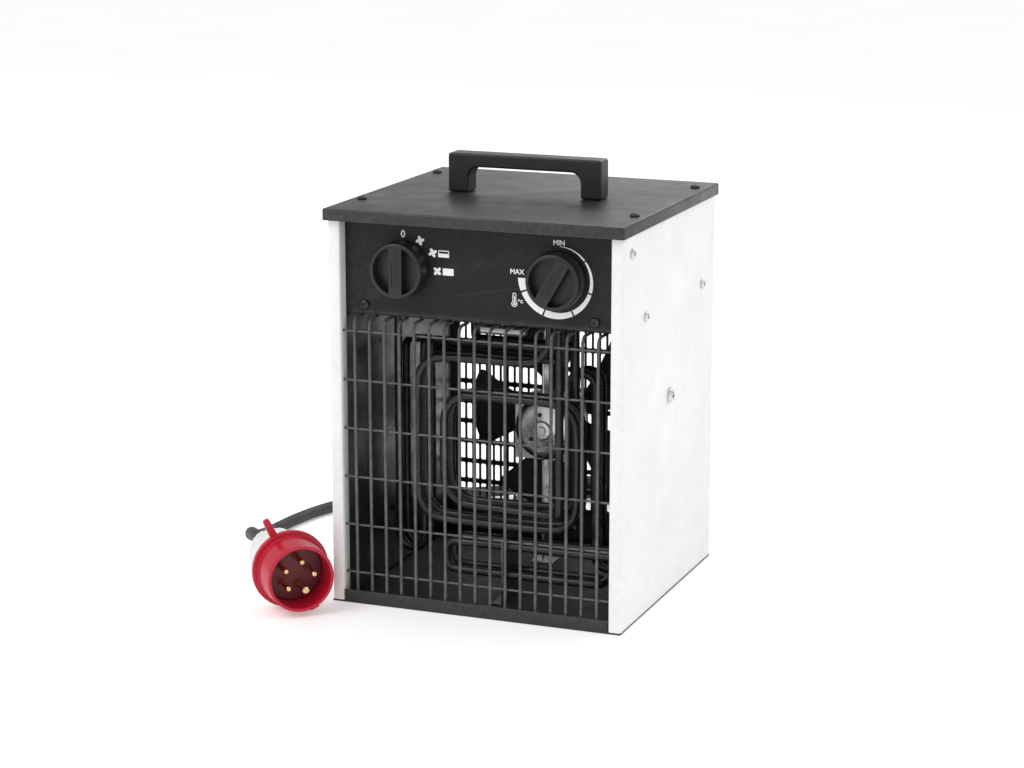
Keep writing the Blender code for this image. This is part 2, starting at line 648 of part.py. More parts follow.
def make_compartment_floor():
    """The sheet between the hot chamber and the wiring, with a flange up at each side."""
    middle = CHAMBER_HEIGHT - SHEET / 2
    top = CHAMBER_HEIGHT + FLOOR_FLANGE
    front = FLOOR_Y + SHEET / 2
    rear = REAR_PANEL_FRONT - GAP - SHEET / 2
    outline = folded([(front, top), (front, middle), (rear, middle), (rear, top)], SHEET)
    sheet = prism(outline, -INSIDE_X + BEND, INSIDE_X - BEND, ALONG_X)
    floor = node("compartment_floor", sheet, "black_paint")
    for side in (-1, 1):
        near, far = sorted((side * (INSIDE_X - BEND - SHEET), side * (INSIDE_X - BEND + SHEET / 2)))
        join(floor, box((near, FLOOR_Y + 0.020, middle), (far, rear - 0.006, top)))
    cuts = [screw_hole((side * PANEL_SCREW_X, FLOOR_Y, PANEL_SCREW_Z), (0, 1, 0)) for side in (-1, 1)]
    for side in (-1, 1):
        cuts += [screw_hole(spot, (1, 0, 0)) for spot in side_screw_spots(side)[1:]]
    for x, y in element_legs():
        cuts.append(screw_hole((x, y, CHAMBER_HEIGHT), (0, 0, 1), shank=ELEMENT))
    cuts.append(screw_hole((BULB_X, BULB_Y, CHAMBER_HEIGHT), (0, 0, 1), shank=CAPILLARY))
    cut(floor, together(cuts))


def make_heat_shield(name, side):
    """A thin inner wall with flanges turned out at its top and bottom."""
    top = CHAMBER_HEIGHT - SHEET - GAP - SHIELD_SHEET / 2
    bottom = ON_BASE + SHIELD_SHEET / 2
    face = SHIELD_X - SHIELD_SHEET / 2
    out = face + SHIELD_SPACE * 0.65
    outline = folded([(out, top), (face, top), (face, bottom), (out, bottom)], SHIELD_SHEET)
    along_y = Matrix(((side, 0, 0, 0), (0, 0, 1, 0), (0, 1, 0, 0), (0, 0, 0, 1)))
    bm = prism(outline, PANEL_Y + SHEET, REAR_PANEL_FRONT - SHEET - 2 * GAP, along_y)
    bmesh.ops.recalc_face_normals(bm, faces=bm.faces)
    shield = node(name, bm, "galvanised")
    cut(shield, screw_hole((side * SHIELD_X, *SIDE_BOLT), (1, 0, 0), shank=0.0060, reach=0.004))


def make_handle():
    """A square arch with rounded inner corners, screwed on from under the lid."""
    foot = CASE_HEIGHT + GAP
    top = foot + HANDLE_HEIGHT
    half = HANDLE_LENGTH / 2
    inner = half - HANDLE_LEG
    under = top - HANDLE_BAR
    outside = [(-half, foot, 0), (-half, top, 0), (half, top, 0), (half, foot, 0)]
    inside = [(inner, foot, 0), (inner, under, 0), (-inner, under, 0), (-inner, foot, 0)]
    outline = rounded(outside, HANDLE_OUTSIDE_RADIUS, 2) + rounded(inside, HANDLE_INSIDE_RADIUS, 4)
    upright = Matrix(((1, 0, 0, 0), (0, 0, -1, HANDLE_Y), (0, 1, 0, 0), (0, 0, 0, 1)))
    bm = prism([(p.x, p.y) for p in outline], -HANDLE_DEPTH / 2, HANDLE_DEPTH / 2, upright)
    handle = node("handle", bm, "black_plastic")
    for side in (-1, 1):
        spot = (side * HANDLE_SCREW_X, HANDLE_Y, foot)
        cut(handle, screw_hole(spot, (0, 0, 1), reach=0.0140))
        at = (side * HANDLE_SCREW_X, HANDLE_Y, CASE_HEIGHT - SHEET)
        screw(f"handle_screw_{'left' if side < 0 else 'right'}", at, (0, 0, 1))
    edges = handle.modifiers.new("edges", "BEVEL")
    edges.width = 0.0016
    edges.segments = 2
    edges.limit_method = "ANGLE"
    edges.angle_limit = math.radians(60)


# ---------------------------------------------------------------- guard
def cross_z(row):
    return CROSS_LOWEST + row * CROSS_PITCH


def make_front_guard():
    """Upright wires welded on the front of cross wires, whose ends sit in the side panels' returns."""
    reach = RETURN_X + SHEET + GAP
    rows = []
    for row in range(CROSS_COUNT):
        ends = [Vector((-reach, CROSS_Y, cross_z(row))), Vector((reach, CROSS_Y, cross_z(row)))]
        rows.append(wire(ends, (0, 0, 1), CROSS_WIRE))
    guard = node("front_guard", together(rows), "guard_wire")
    top = CHAMBER_HEIGHT - SHEET - WIRE / 2 - 2 * GAP
    uprights = []
    for column in range(WIRE_COUNT):
        x = (column - (WIRE_COUNT - 1) / 2) * WIRE_PITCH
        corners = [(x, WIRE_Y, ON_BASE + WIRE), (x, WIRE_Y, top), (x, WIRE_Y + WIRE_HOOK, top)]
        uprights.append(wire(rounded(corners, 0.006, 3), (1, 0, 0), WIRE))
    join(guard, together(uprights))


# ---------------------------------------------------------------- heating elements
def make_loop_element(name, y, leg_y):
    """An outer loop that runs on into an inner one, with both ends up through the compartment floor."""
    corners = [
        (INNER_HALF, y, ELEMENT_TOP),
        (INNER_HALF, y, LOOP_TOP),
        (-LOOP_HALF, y, LOOP_TOP),
        (-LOOP_HALF, y, LOOP_BOTTOM),
        (LOOP_HALF, y, LOOP_BOTTOM),
        (LOOP_HALF, y, INNER_TOP),
        (-INNER_HALF, y, INNER_TOP),
        (-INNER_HALF, y, INNER_BOTTOM),
        (LOOP_OUT_X - LOOP_OUT, y, INNER_BOTTOM),
    ]
    path = rounded(corners, LOOP_BEND, 4)
    turn_up = [corners[-1], (LOOP_OUT_X, leg_y, INNER_BOTTOM), (LOOP_OUT_X, leg_y, ELEMENT_TOP)]
    tube(name, path[:-1] + rounded(turn_up, LEG_BEND, 4)[1:], ELEMENT, "element_steel")


def make_left_element():
    """Upright hairpins in two rows, then two level hairpins above the fan."""
    near, far = SIDE_ROWS
    inner = SIDE_LEFT_X + HAIRPIN_PITCH
    # The two rows meet over the top in a bend of half their spacing.
    first = [
        (SIDE_LEFT_X, near, ELEMENT_TOP),
        (SIDE_LEFT_X, near, HAIRPIN_BOTTOM),
        (inner, near, HAIRPIN_BOTTOM),
        (inner, near, LEFT_HAIRPIN_TOP),
    ]
    low, high = UPPER_Z
    left, right = UPPER_ENDS
    level = [(right, high), (right, low), (left, low)]
    second = [
        (inner, far, LEFT_HAIRPIN_TOP),
        (inner, far, HAIRPIN_BOTTOM),
        (SIDE_LEFT_X, far, HAIRPIN_BOTTOM),
        (SIDE_LEFT_X, far, low),
    ]
    third = [(SIDE_LEFT_X, far, low), (SIDE_LEFT_X, far, high), (SIDE_LEFT_X, UPPER_ROWS[0], high)]
    third += [(x, UPPER_ROWS[0], z) for x, z in level] + [(x, UPPER_ROWS[1], z) for x, z in level[::-1]]
    third += [(UPPER_LEG_X, UPPER_ROWS[1], high), (UPPER_LEG_X, UPPER_ROWS[1], ELEMENT_TOP)]
    path = rounded(first, ELEMENT_BEND, 4)[:-1] + arch(inner, near, far, LEFT_HAIRPIN_TOP, far - near)
    path += rounded(second, ELEMENT_BEND, 4)[1:-1] + rounded(third, UPPER_BEND, 4)
    tube("heating_element_left", path, ELEMENT, "element_steel")


def make_right_element():
    """Upright hairpins in two rows that meet at the bottom of the innermost leg."""
    near, far = SIDE_ROWS
    right = [SIDE_RIGHT_X - HAIRPIN_PITCH * step for step in range(3)]
    right_path = [
        (right[0], near, ELEMENT_TOP),
        (right[0], near, HAIRPIN_BOTTOM),
        (right[1], near, HAIRPIN_BOTTOM),
        (right[1], near, RIGHT_HAIRPIN_TOP),
        (right[2], near, RIGHT_HAIRPIN_TOP),
        (right[2], near, RIGHT_TURN_BOTTOM),
    ]
    back = [(x, far, z) for x, y, z in right_path[::-1]]
    path = rounded(right_path, ELEMENT_BEND, 4)[:-1]
    path += arch(right[2], near, far, RIGHT_TURN_BOTTOM, near - far) + rounded(back, ELEMENT_BEND, 4)[1:]
    tube("heating_element_right", path, ELEMENT, "element_steel")


def make_lower_element():
    """Two level hairpins low down in front of the fan."""
    low, high = LOWER_Z
    front, rear = LOWER_ROWS
    lower = [
        (LOWER_LEG_X, front, ELEMENT_TOP),
        (LOWER_LEG_X, front, high),
        (LOWER_LEFT, front, high),
        (LOWER_LEFT, front, low),
        (LOWER_RIGHT_X, front, low),
        (LOWER_RIGHT_X, rear, low),
        (LOWER_LEFT, rear, low),
        (LOWER_LEFT, rear, high),
        (LOWER_LEG_X, rear, high),
        (LOWER_LEG_X, rear, ELEMENT_TOP),
    ]
    tube("heating_element_lower", rounded(lower, (rear - front) / 2 - GAP, 4), ELEMENT, "element_steel")


def make_elements():
    make_loop_element("heating_element_front", FRONT_LOOP_Y, FRONT_LOOP_Y + FRONT_LEG_STEP)
    make_loop_element("heating_element_rear", REAR_LOOP_Y, REAR_LOOP_Y + REAR_LEG_STEP)
    make_left_element()
    make_right_element()
    make_lower_element()


def arch(x, near, far, z, rise):
    """Points on a half circle in depth, from one row of an element to the next."""
    middle = (near + far) / 2
    radius = (far - near) / 2
    steps = 6
    angles = [math.pi * step / steps for step in range(steps + 1)]
    return [(x, middle - radius * math.cos(a), z + math.copysign(radius, rise) * math.sin(a)) for a in angles]


def make_element_support():
    """A slotted strip that stands on the tray and holds the lower element's four legs."""
    low = (SUPPORT_X, LOWER_ROWS[0] - SUPPORT_REACH, ON_BASE)
    high = (SUPPORT_X + SHEET, LOWER_ROWS[1] + SUPPORT_REACH, LOWER_Z[1] + SUPPORT_REACH)
    support = node("element_support", box(low, high), "galvanised")
    foot = box((SUPPORT_X - SUPPORT_FOOT, low[1], ON_BASE), (SUPPORT_X + SHEET / 2, high[1], ON_BASE + SHEET))
    join(support, foot)
    spots = [(SUPPORT_X, y, z) for y in LOWER_ROWS for z in LOWER_Z]
    cut(support, together([screw_hole(spot, (1, 0, 0), shank=ELEMENT) for spot in spots]))


# ---------------------------------------------------------------- motor and fan
def axis_piece(profile, sides, y, closed=False):
    """A turned shape on the fan's axis, its heights measured back from y."""
    return turned(profile, sides, placed((0, y, FAN_Z), (0, 1, 0)), closed)


def make_motor():
    depth = MOTOR_BACK - MOTOR_FRONT
    bell = [
        (0, 0),
        (0.0075, 0),
        (0.0085, 0.0022),
        (0.0220, 0.0030),
        (BELL_RADIUS - 0.0015, 0.0055),
        (BELL_RADIUS, 0.0080),
        (BELL_RADIUS, BELL_DEPTH + 0.006),
        (0, BELL_DEPTH + 0.006),
    ]
    housing = node("motor_housing", axis_piece(bell, 28, MOTOR_FRONT), "aluminium")
    half = MOTOR_SIDE / 2
    plate_back = MOTOR_FRONT + BELL_DEPTH + BRACKET_SHEET + GAP
    body = box((-half, plate_back, FAN_Z - half), (half, MOTOR_BACK, FAN_Z + half))
    upright = [edge for edge in body.edges if abs(edge.verts[0].co.y - edge.verts[1].co.y) > 0.01]
    bmesh.ops.bevel(body, geom=upright, offset=0.010, segments=3, profile=0.5, affect="EDGES")
    join(housing, body)
    cavity = ROTOR_RADIUS + ROTOR_CLEARANCE
    cut(housing, cylinder((0, MOTOR_FRONT + 0.012, FAN_Z), (0, MOTOR_BACK + 0.01, FAN_Z), cavity, 24))
    bore = MOTOR_SHAFT / 2 + SHAFT_CLEARANCE
    cut(housing, cylinder((0, MOTOR_FRONT - 0.01, FAN_Z), (0, MOTOR_FRONT + 0.02, FAN_Z), bore, 16))
    shield = [
        (bore, 0),
        (0.0270, 0),
        (0.0270, 0.0025),
        (0.0120, 0.0045),
        (bore, 0.0045),
    ]
    node("motor_end_shield", axis_piece(shield, 24, MOTOR_BACK + GAP, closed=True), "aluminium")
    shaft = MOTOR_SHAFT / 2
    start = MOTOR_FRONT - 0.0015
    rotor = [
        (0, 0),
        (shaft, 0),
        (shaft, 0.0150),
        (ROTOR_RADIUS, 0.0150),
        (ROTOR_RADIUS, depth),
        (shaft, depth),
        (shaft, HUB_BACK - start + 0.0075),
        (0, HUB_BACK - start + 0.0075),
    ]
    node("motor_rotor", axis_piece(rotor, 20, start), "bright_steel", origin=(0, start, FAN_Z))


def make_motor_bracket():
    """A square plate round the motor's bell, held by two edge-on arms with feet."""
    half = MOTOR_SIDE / 2 + 0.002
    front = MOTOR_FRONT + BELL_DEPTH
    plate = box((-half, front, FAN_Z - half), (half, front + BRACKET_SHEET, FAN_Z + half))
    bracket = node("motor_bracket", plate, "bright_steel")
    thin = BRACKET_SHEET / 2
    arm_front = front - (ARM_DEPTH - BRACKET_SHEET) / 2
    arm_back = arm_front + ARM_DEPTH
    top = CHAMBER_HEIGHT - SHEET - GAP
    reach = half - 0.004
    join(bracket, box((-thin, arm_front, FAN_Z + reach), (thin, arm_back, top - thin)))
    join(bracket, box((-thin, arm_front, ON_BASE + thin), (thin, arm_back, FAN_Z - reach)))
    foot = 0.0110
    foot_y = (arm_front - 0.003, arm_back + 0.003)
    join(bracket, box((-foot, foot_y[0], top - BRACKET_SHEET), (foot, foot_y[1], top)))
    join(bracket, box((-foot, foot_y[0], ON_BASE), (foot, foot_y[1], ON_BASE + BRACKET_SHEET)))
    hole = BELL_RADIUS + GAP
    cut(bracket, cylinder((0, front - 0.02, FAN_Z), (0, front + 0.02, FAN_Z), hole, 28))


def blade(angle):
    """One twisted blade from inside the hub to the tip circle."""
    bm = bmesh.new()
    columns = 5
    rows = 5
    faces = ([], [])
    for row in range(rows + 1):
        share = row / rows
        radius = HUB_RADIUS - 0.004 + share * (FAN_RADIUS - HUB_RADIUS + 0.004)
        spread = math.radians(BLADE_ARC) * (0.72 + 0.28 * share)
        lift = BLADE_PITCH * (1 - 0.25 * share)
        for skin, offset in zip(faces, (-BLADE_SHEET / 2, BLADE_SHEET / 2)):
            line = []
            for column in range(columns + 1):
                along = column / columns - 0.5
                turn = math.radians(angle) + along * spread
                camber = BLADE_CAMBER * (4 * along * along - 1) * share
                y = (HUB_FRONT + HUB_BACK) / 2 + along * lift + offset + camber
                line.append(bm.verts.new((radius * math.cos(turn), y, FAN_Z + radius * math.sin(turn))))
            skin.append(line)
    front, back = faces
    for row in range(rows):
        for column in range(columns):
            for skin, order in ((front, 1), (back, -1)):
                corners = [skin[row][column], skin[row][column + 1]]
                corners += [skin[row + 1][column + 1], skin[row + 1][column]]
                bm.faces.new(corners[::order])
    border = [(row, 0) for row in range(rows)] + [(rows, column) for column in range(columns)]
    border += [(row, columns) for row in range(rows, 0, -1)]
    border += [(0, column) for column in range(columns, 0, -1)]
    for (row, column), (next_row, next_column) in zip(border, border[1:] + border[:1]):
        corners = [front[row][column], front[next_row][next_column]]
        corners += [back[next_row][next_column], back[row][column]]
        bm.faces.new(corners)
    bmesh.ops.recalc_face_normals(bm, faces=bm.faces)
    return bm


def make_fan():
    depth = HUB_BACK - HUB_FRONT
    bore = MOTOR_SHAFT / 2 + GAP
    hub = [
        (bore, 0),
        (HUB_RADIUS - 0.003, 0),
        (HUB_RADIUS, 0.0030),
        (HUB_RADIUS, depth),
        (bore, depth),
    ]
    turning = axis_piece(hub, 20, HUB_FRONT, closed=True)
    fan = node("fan_impeller", turning, "fan_black", origin=(0, HUB_FRONT, FAN_Z))
    blades = [blade(BLADE_FIRST + index * 360 / FAN_BLADES) for index in range(FAN_BLADES)]
    join(fan, together(blades))
    thread = bore / math.cos(math.pi / 6)
    nut = [(thread, 0), (0.0070, 0), (0.0070, 0.0055), (thread, 0.0055)]
    hexagon = axis_piece(nut, 6, HUB_BACK + GAP, closed=True)
    node("fan_nut", hexagon, "bright_steel", origin=(0, HUB_BACK, FAN_Z))


# ---------------------------------------------------------------- controls
def make_knob(name, x, pointer):
    """A recessed disc with a grip ridge across it and a pointer groove at one end, on its turning axis."""
    radius = KNOB_DIAMETER / 2
    rim = radius - KNOB_RIM
    floor = KNOB_HEIGHT - KNOB_RECESS
    profile = [
        (0, 0),
        (radius, 0),
        (radius, 0.0030),
        (radius - 0.0007, KNOB_HEIGHT - 0.0012),
        (radius - 0.0017, KNOB_HEIGHT),
        (rim, KNOB_HEIGHT),
        (rim - 0.0015, floor),
        (0, floor),
    ]
    at = (x, PANEL_Y - KNOB_CLEARANCE, CONTROL_Z)
    front = placed(at, (0, -1, 0), -pointer)
    knob = node(name, turned(profile, 32, front), "black_plastic", origin=at)
    half = RIDGE_WIDTH / 2
    top = KNOB_HEIGHT + RIDGE_RISE
    end = rim + KNOB_RIM / 2
    ridge = prism([(-half, -end), (half, -end), (half, end), (-half, end)], floor - 0.001, top, front)
    join(knob, ridge)
    inner = end - 0.008
    outer = end + 0.004
    mark = [(-0.0007, inner), (0.0007, inner), (0.0007, outer), (-0.0007, outer)]
    cut(knob, prism(mark, top - 0.0006, top + 0.002, front))
    bore = SHAFT_DIAMETER / 2 + GAP
    inward = at[1] - SHAFT_IN_KNOB
    cut(knob, cylinder((x, at[1] + 0.005, CONTROL_Z), (x, inward, CONTROL_Z), bore, 12))


def make_switch(label, x, half_width, half_height, depth):
    """A switch housing behind the panel, and the shaft that turns in it and carries the knob."""
    front = PANEL_Y + SHEET + GAP
    low = (x - half_width, front, CONTROL_Z - half_height)
    high = (x + half_width, front + depth, CONTROL_Z + half_height)
    body = node(f"{label}_body", box(low, high), "switch_plastic")
    end = front + SHAFT_IN_SWITCH
    bore = SHAFT_DIAMETER / 2 + SHAFT_CLEARANCE
    cut(body, cylinder((x, front - 0.01, CONTROL_Z), (x, end, CONTROL_Z), bore, 16))
    tip = PANEL_Y - KNOB_CLEARANCE - SHAFT_IN_KNOB + GAP
    shaft = cylinder((x, tip, CONTROL_Z), (x, end - GAP, CONTROL_Z), SHAFT_DIAMETER / 2, 16)
    node(f"{label}_shaft", shaft, "bright_steel", origin=(x, PANEL_Y, CONTROL_Z))


def make_thermostat_bulb():
    """The sensing bulb that hangs under the compartment floor, with its capillary up to the thermostat."""
    profile = [(0, 0), (0.003, 0), (BULB_RADIUS, 0.002), (BULB_RADIUS, 2 * BULB_HALF - 0.002)]
    profile += [(0.003, 2 * BULB_HALF), (0, 2 * BULB_HALF)]
    start = (BULB_X - BULB_HALF, BULB_Y, BULB_Z)
    bulb = node("thermostat_bulb", turned(profile, 14, placed(start, (1, 0, 0))), "nickel")
    top = CONTROL_Z - 0.0260
    join(bulb, cylinder((BULB_X, BULB_Y, BULB_Z), (BULB_X, BULB_Y, top), CAPILLARY / 2, 8))


def make_wiring_pieces():
    """The safety cut-out and the terminal block on the compartment floor."""
    on_floor = CHAMBER_HEIGHT + GAP
    disc = [(0, 0), (0.0125, 0), (0.0125, 0.0025), (0.0080, 0.0025), (0.0080, 0.0110), (0, 0.0110)]
    node("safety_cutout", turned(disc, 20, placed((-0.0200, -0.0200, on_floor), (0, 0, 1))), "switch_plastic")
    ways = 5
    pitch = 0.0120
    half = (ways * pitch / 2, 0.0110)
    block_y = 0.0700
    low = (-half[0], block_y - half[1], on_floor)
    block = node("terminal_block", box(low, (half[0], block_y + half[1], on_floor + 0.0200)), "block_plastic")
    holes = []
    for way in range(ways):
        x = (way - (ways - 1) / 2) * pitch
        near, far = [(x, block_y + step, on_floor + 0.007) for step in (-0.02, 0.02)]
        holes.append(cylinder(near, far, 0.003, 8))
    cut(block, together(holes))


# ---------------------------------------------------------------- power lead
def ring_of_coil():
    outer = COIL_RADIUS + CORD + 2 * GAP
    inner = COIL_RADIUS - CORD - 2 * GAP
    top = COIL_LAYERS * CORD + 2 * GAP
    ease = CORD / 3
    return [
        (inner, GAP + ease),
        (inner + ease, GAP),
        (outer - ease, GAP),
        (outer, GAP + ease),
        (outer, top - ease),
        (outer - ease, top),
        (inner + ease, top),
        (inner, top - ease),
    ]


def exit_route():
    """From the gland down to the coil."""
    low, high = RUN
    route = []
    for x, y, z in EXIT_STEPS:
        share = min(1.0, max(0.0, (z - low) / (high - low)))
        route.append((GLAND_X + x, REAR_Y + y, z + share * (GLAND_Z - DRAWN_GLAND_Z)))
    return route


def plug_route():
    """From the coil to the back of the plug."""
    span = [PLUG_MOUTH[axis] - COIL_CENTRE[axis] - DRAWN_SPAN[axis] for axis in (0, 1)]
    route = []
    for x, y, z, share in PLUG_STEPS:
        route.append((COIL_CENTRE[0] + x + share * span[0], COIL_CENTRE[1] + y + share * span[1], z))
    return route


def make_lead():
    """Gland and strain relief on the rear panel, two free runs, and the coil between them."""
    start = (GLAND_X, REAR_PANEL_BACK + GAP, GLAND_Z)
    back = (0, 1, 0)
    gland = [
        (0, 0),
        (GLAND_RADIUS, 0),
        (GLAND_RADIUS, 0.0060),
        (GLAND_RADIUS - 0.0015, 0.0065),
        (GLAND_RADIUS - 0.0020, GLAND_LENGTH - 0.0030),
        (CORD / 2 + 0.0030, GLAND_LENGTH),
        (0, GLAND_LENGTH),
    ]
    node("cable_gland", turned(gland, 18, placed(start, back)), "black_plastic")
    relief_start = (GLAND_X, start[1] + GLAND_LENGTH + GAP, GLAND_Z)
    relief = [(0, 0), (CORD / 2 + 0.0028, 0), (CORD / 2 + 0.0008, RELIEF_LENGTH), (0, RELIEF_LENGTH)]
    node("strain_relief", turned(relief, 14, placed(relief_start, back)), "cord_rubber")
    start, *rest = exit_route()
    exit_run = [start, *smooth_route(rest, 2.2 * CORD)]
    tube("cord_exit_run", exit_run, CORD, "cord_rubber")
    coil = turned(ring_of_coil(), 32, Matrix.Translation((*COIL_CENTRE, 0)), closed=True)
    node("cord_coil", coil, "cord_rubber", origin=(*COIL_CENTRE, 0))
    *rest, end = plug_route()
    plug_run = [*smooth_route(rest, 2.2 * CORD), end]
    tube("cord_plug_run", plug_run, CORD, "cord_rubber")


# ---------------------------------------------------------------- plug
def plug_piece(profile, sides, closed=False):
    """A turned shape on the plug's axis, its heights measured out of the mouth."""
    return turned(profile, sides, placed(PLUG_MOUTH, PLUG_FACING, PLUG_ROLL), closed)


def pin_spots():
    """The contacts' places and diameters, the earth contact first, at the bottom by the key."""
    spots = []
    for index in range(5):
        angle = math.radians(-90 + 72 * index)
        diameter = PIN if index else EARTH_PIN
        spots.append((PIN_CIRCLE * math.cos(angle), PIN_CIRCLE * math.sin(angle), diameter))
    return spots


def in_plug(bm):
    bm.transform(placed(PLUG_MOUTH, PLUG_FACING, PLUG_ROLL))
    return bm


def pin(x, y, radius, low, high, sides=10):
    return in_plug(cylinder((x, y, low), (x, y, high), radius, sides))


def make_plug():
    floor = -0.0360
    behind = PLUG_FLANGE_BACK - 0.0080
    shroud = [
        (0, behind),
        (PLUG_RIM - 0.0015, behind),
        (PLUG_RIM - 0.0015, PLUG_FLANGE_BACK),
        (PLUG_FLANGE, PLUG_FLANGE_BACK),
        (PLUG_FLANGE, PLUG_FLANGE_BACK + 0.0045),
        (PLUG_RIM, PLUG_FLANGE_BACK + 0.0050),
        (PLUG_RIM, 0),
        (PLUG_BORE, 0),
        (PLUG_BORE, floor),
        (0, floor),
    ]
    shell = node("plug_shroud", plug_piece(shroud, 36), "plug_red", origin=PLUG_MOUTH)
    key = box((-0.0045, -PLUG_RIM - 0.0030, PLUG_FLANGE_BACK + 0.001), (0.0045, -PLUG_RIM + 0.001, -0.0060))
    tab_low = (-0.0060, PLUG_FLANGE - 0.003, PLUG_FLANGE_BACK + 0.0005)
    tab = box(tab_low, (0.0060, PLUG_FLANGE + 0.009, -0.0345))
    join(shell, in_plug(key))
    join(shell, in_plug(tab))
    radius = PLUG_BORE - GAP
    disc = [(0, -0.0315), (radius, -0.0315), (radius, -0.0270), (0, -0.0270)]
    carrier = node("plug_pin_carrier", plug_piece(disc, 32), "plug_red", origin=PLUG_MOUTH)
    holes = [pin(x, y, d / 2 + GAP, -0.040, -0.020) for x, y, d in pin_spots()]
    cut(carrier, together(holes))
    plate = [(0, floor + GAP), (0.0200, floor + GAP), (0.0200, -0.0320), (0, -0.0320)]
    contacts = node("plug_contacts", plug_piece(plate, 24), "brass", origin=PLUG_MOUTH)
    join(contacts, together([pin(x, y, d / 2, floor + 0.001, -0.0050) for x, y, d in pin_spots()]))
    nut_start = PLUG_END + 0.0240
    housing = [
        (0, nut_start + GAP),
        (0.0165, nut_start + GAP),
        (0.0225, nut_start + 0.0120),
        (0.0275, behind - 0.0120),
        (0.0285, behind - GAP),
        (0, behind - GAP),
    ]
    node("plug_housing", plug_piece(housing, 28), "plug_grey", origin=PLUG_MOUTH)
    nut = [(0, PLUG_END), (0.0085, PLUG_END), (0.0120, PLUG_END + 0.008), (0.0150, nut_start), (0, nut_start)]
    node("plug_gland_nut", plug_piece(nut, 18), "plug_grey", origin=PLUG_MOUTH)


# ---------------------------------------------------------------- fasteners
def make_screws():
    for side, word in ((-1, "left"), (1, "right")):
        for end, y in zip(("front", "rear"), LID_SCREWS):
            screw(f"lid_screw_{end}_{word}", (side * LID_SCREW_X, y, CASE_HEIGHT), (0, 0, -1), length=0.009)
        at = (side * PANEL_SCREW_X, PANEL_Y, PANEL_SCREW_Z)
        screw(f"panel_screw_{word}", at, (0, 1, 0), head=0.0085)
        names = ("upper", "middle_front", "middle_rear")
        for place, spot in zip(names, side_screw_spots(side)):
            screw(f"side_screw_{place}_{word}", spot, (-side, 0, 0), length=0.009, finish="white_screw")
        bolt = (side * SIDE_X, *SIDE_BOLT)
        screw(f"side_bolt_{word}", bolt, (-side, 0, 0), 0.0155, 0.0036, 0.0060, 0.0160, "bright_steel")
        at = (side * REAR_SCREW_X, REAR_Y, REAR_SCREW_Z)
        screw(f"rear_screw_{word}", at, (0, -1, 0), length=0.010)


def main():
    clear_scene()
    make_base_tray()
    make_side_panel("left_side_panel", -1)
    make_side_panel("right_side_panel", 1)
    make_top_cover()
    make_rear_panel()
    make_control_panel()
    make_compartment_floor()
    make_heat_shield("left_heat_shield", -1)
    make_heat_shield("right_heat_shield", 1)
    make_handle()
    make_front_guard()
    make_elements()
    make_element_support()
    make_motor_bracket()
    make_motor()
    make_fan()
    make_knob("mode_knob", MODE_X, 0.0)
    make_knob("thermostat_knob", THERMOSTAT_X, THERMOSTAT_REST)
    make_switch("mode_switch", MODE_X, 0.0210, 0.0210, 0.0380)
    make_switch("thermostat", THERMOSTAT_X, 0.0230, 0.0180, 0.0320)
    make_thermostat_bulb()
    make_wiring_pieces()
    make_lead()
    make_plug()
    make_screws()


main()
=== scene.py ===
"""Looks of the electric fan heater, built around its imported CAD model. Metres, +Z up, front towards -Y."""
import json
import math

import bmesh
import bpy
from mathutils import Matrix, Vector


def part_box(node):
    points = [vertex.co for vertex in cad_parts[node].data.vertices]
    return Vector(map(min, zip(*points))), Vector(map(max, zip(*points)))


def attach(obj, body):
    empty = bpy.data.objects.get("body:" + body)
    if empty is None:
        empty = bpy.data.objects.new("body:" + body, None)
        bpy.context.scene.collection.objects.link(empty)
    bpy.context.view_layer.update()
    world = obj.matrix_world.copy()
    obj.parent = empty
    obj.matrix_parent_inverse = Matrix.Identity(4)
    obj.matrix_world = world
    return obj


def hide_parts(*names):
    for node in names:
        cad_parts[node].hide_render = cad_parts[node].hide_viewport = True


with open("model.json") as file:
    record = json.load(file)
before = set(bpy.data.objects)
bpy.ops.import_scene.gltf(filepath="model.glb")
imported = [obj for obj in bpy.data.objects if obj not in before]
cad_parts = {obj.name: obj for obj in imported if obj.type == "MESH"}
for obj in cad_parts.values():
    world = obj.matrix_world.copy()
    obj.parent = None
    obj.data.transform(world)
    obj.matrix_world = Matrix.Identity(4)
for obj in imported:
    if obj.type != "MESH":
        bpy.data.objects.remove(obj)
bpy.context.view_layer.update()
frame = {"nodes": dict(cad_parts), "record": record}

NODES = frame["nodes"]
RECORD = frame["record"]
SLOTS = {entry["node"]: entry["material_slot"] for entry in RECORD["subparts"]}
BODIES = {node: body for body, nodes in RECORD["behaviour"]["bodies"].items() for node in nodes}
MOUNTS = {mount["name"]: mount for mount in RECORD["mounts"]}
MM = 0.001


# ---------------------------------------------------------------- places read from the frame
def middle(node):
    low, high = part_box(node)
    return (low + high) / 2


def extent(node):
    low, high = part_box(node)
    return high - low


def placed(at, direction, roll=0.0):
    """Carries +Z to the direction and +Y to the way nearest to up."""
    turn = Vector(direction).to_track_quat("Z", "Y").to_matrix().to_4x4()
    return Matrix.Translation(at) @ turn @ Matrix.Rotation(roll, 4, "Z")


PANEL_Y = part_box("control_panel")[0].y
MODE = middle("mode_knob")
THERMOSTAT = middle("thermostat_knob")
KNOB_RADIUS = extent("mode_knob").x / 2
KNOB_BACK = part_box("mode_knob")[1].y
KNOB_HEIGHT = 16.5 * MM
THERMOSTAT_REST = math.radians(30)
PLUG_MOUTH = Vector(MOUNTS["plug_contacts_face"]["pos_m"])
PLUG_FACING = Vector(MOUNTS["plug_contacts_face"]["axis"])
PLUG_ROLL = math.radians(25)
PLUG = placed(PLUG_MOUTH, PLUG_FACING, PLUG_ROLL)


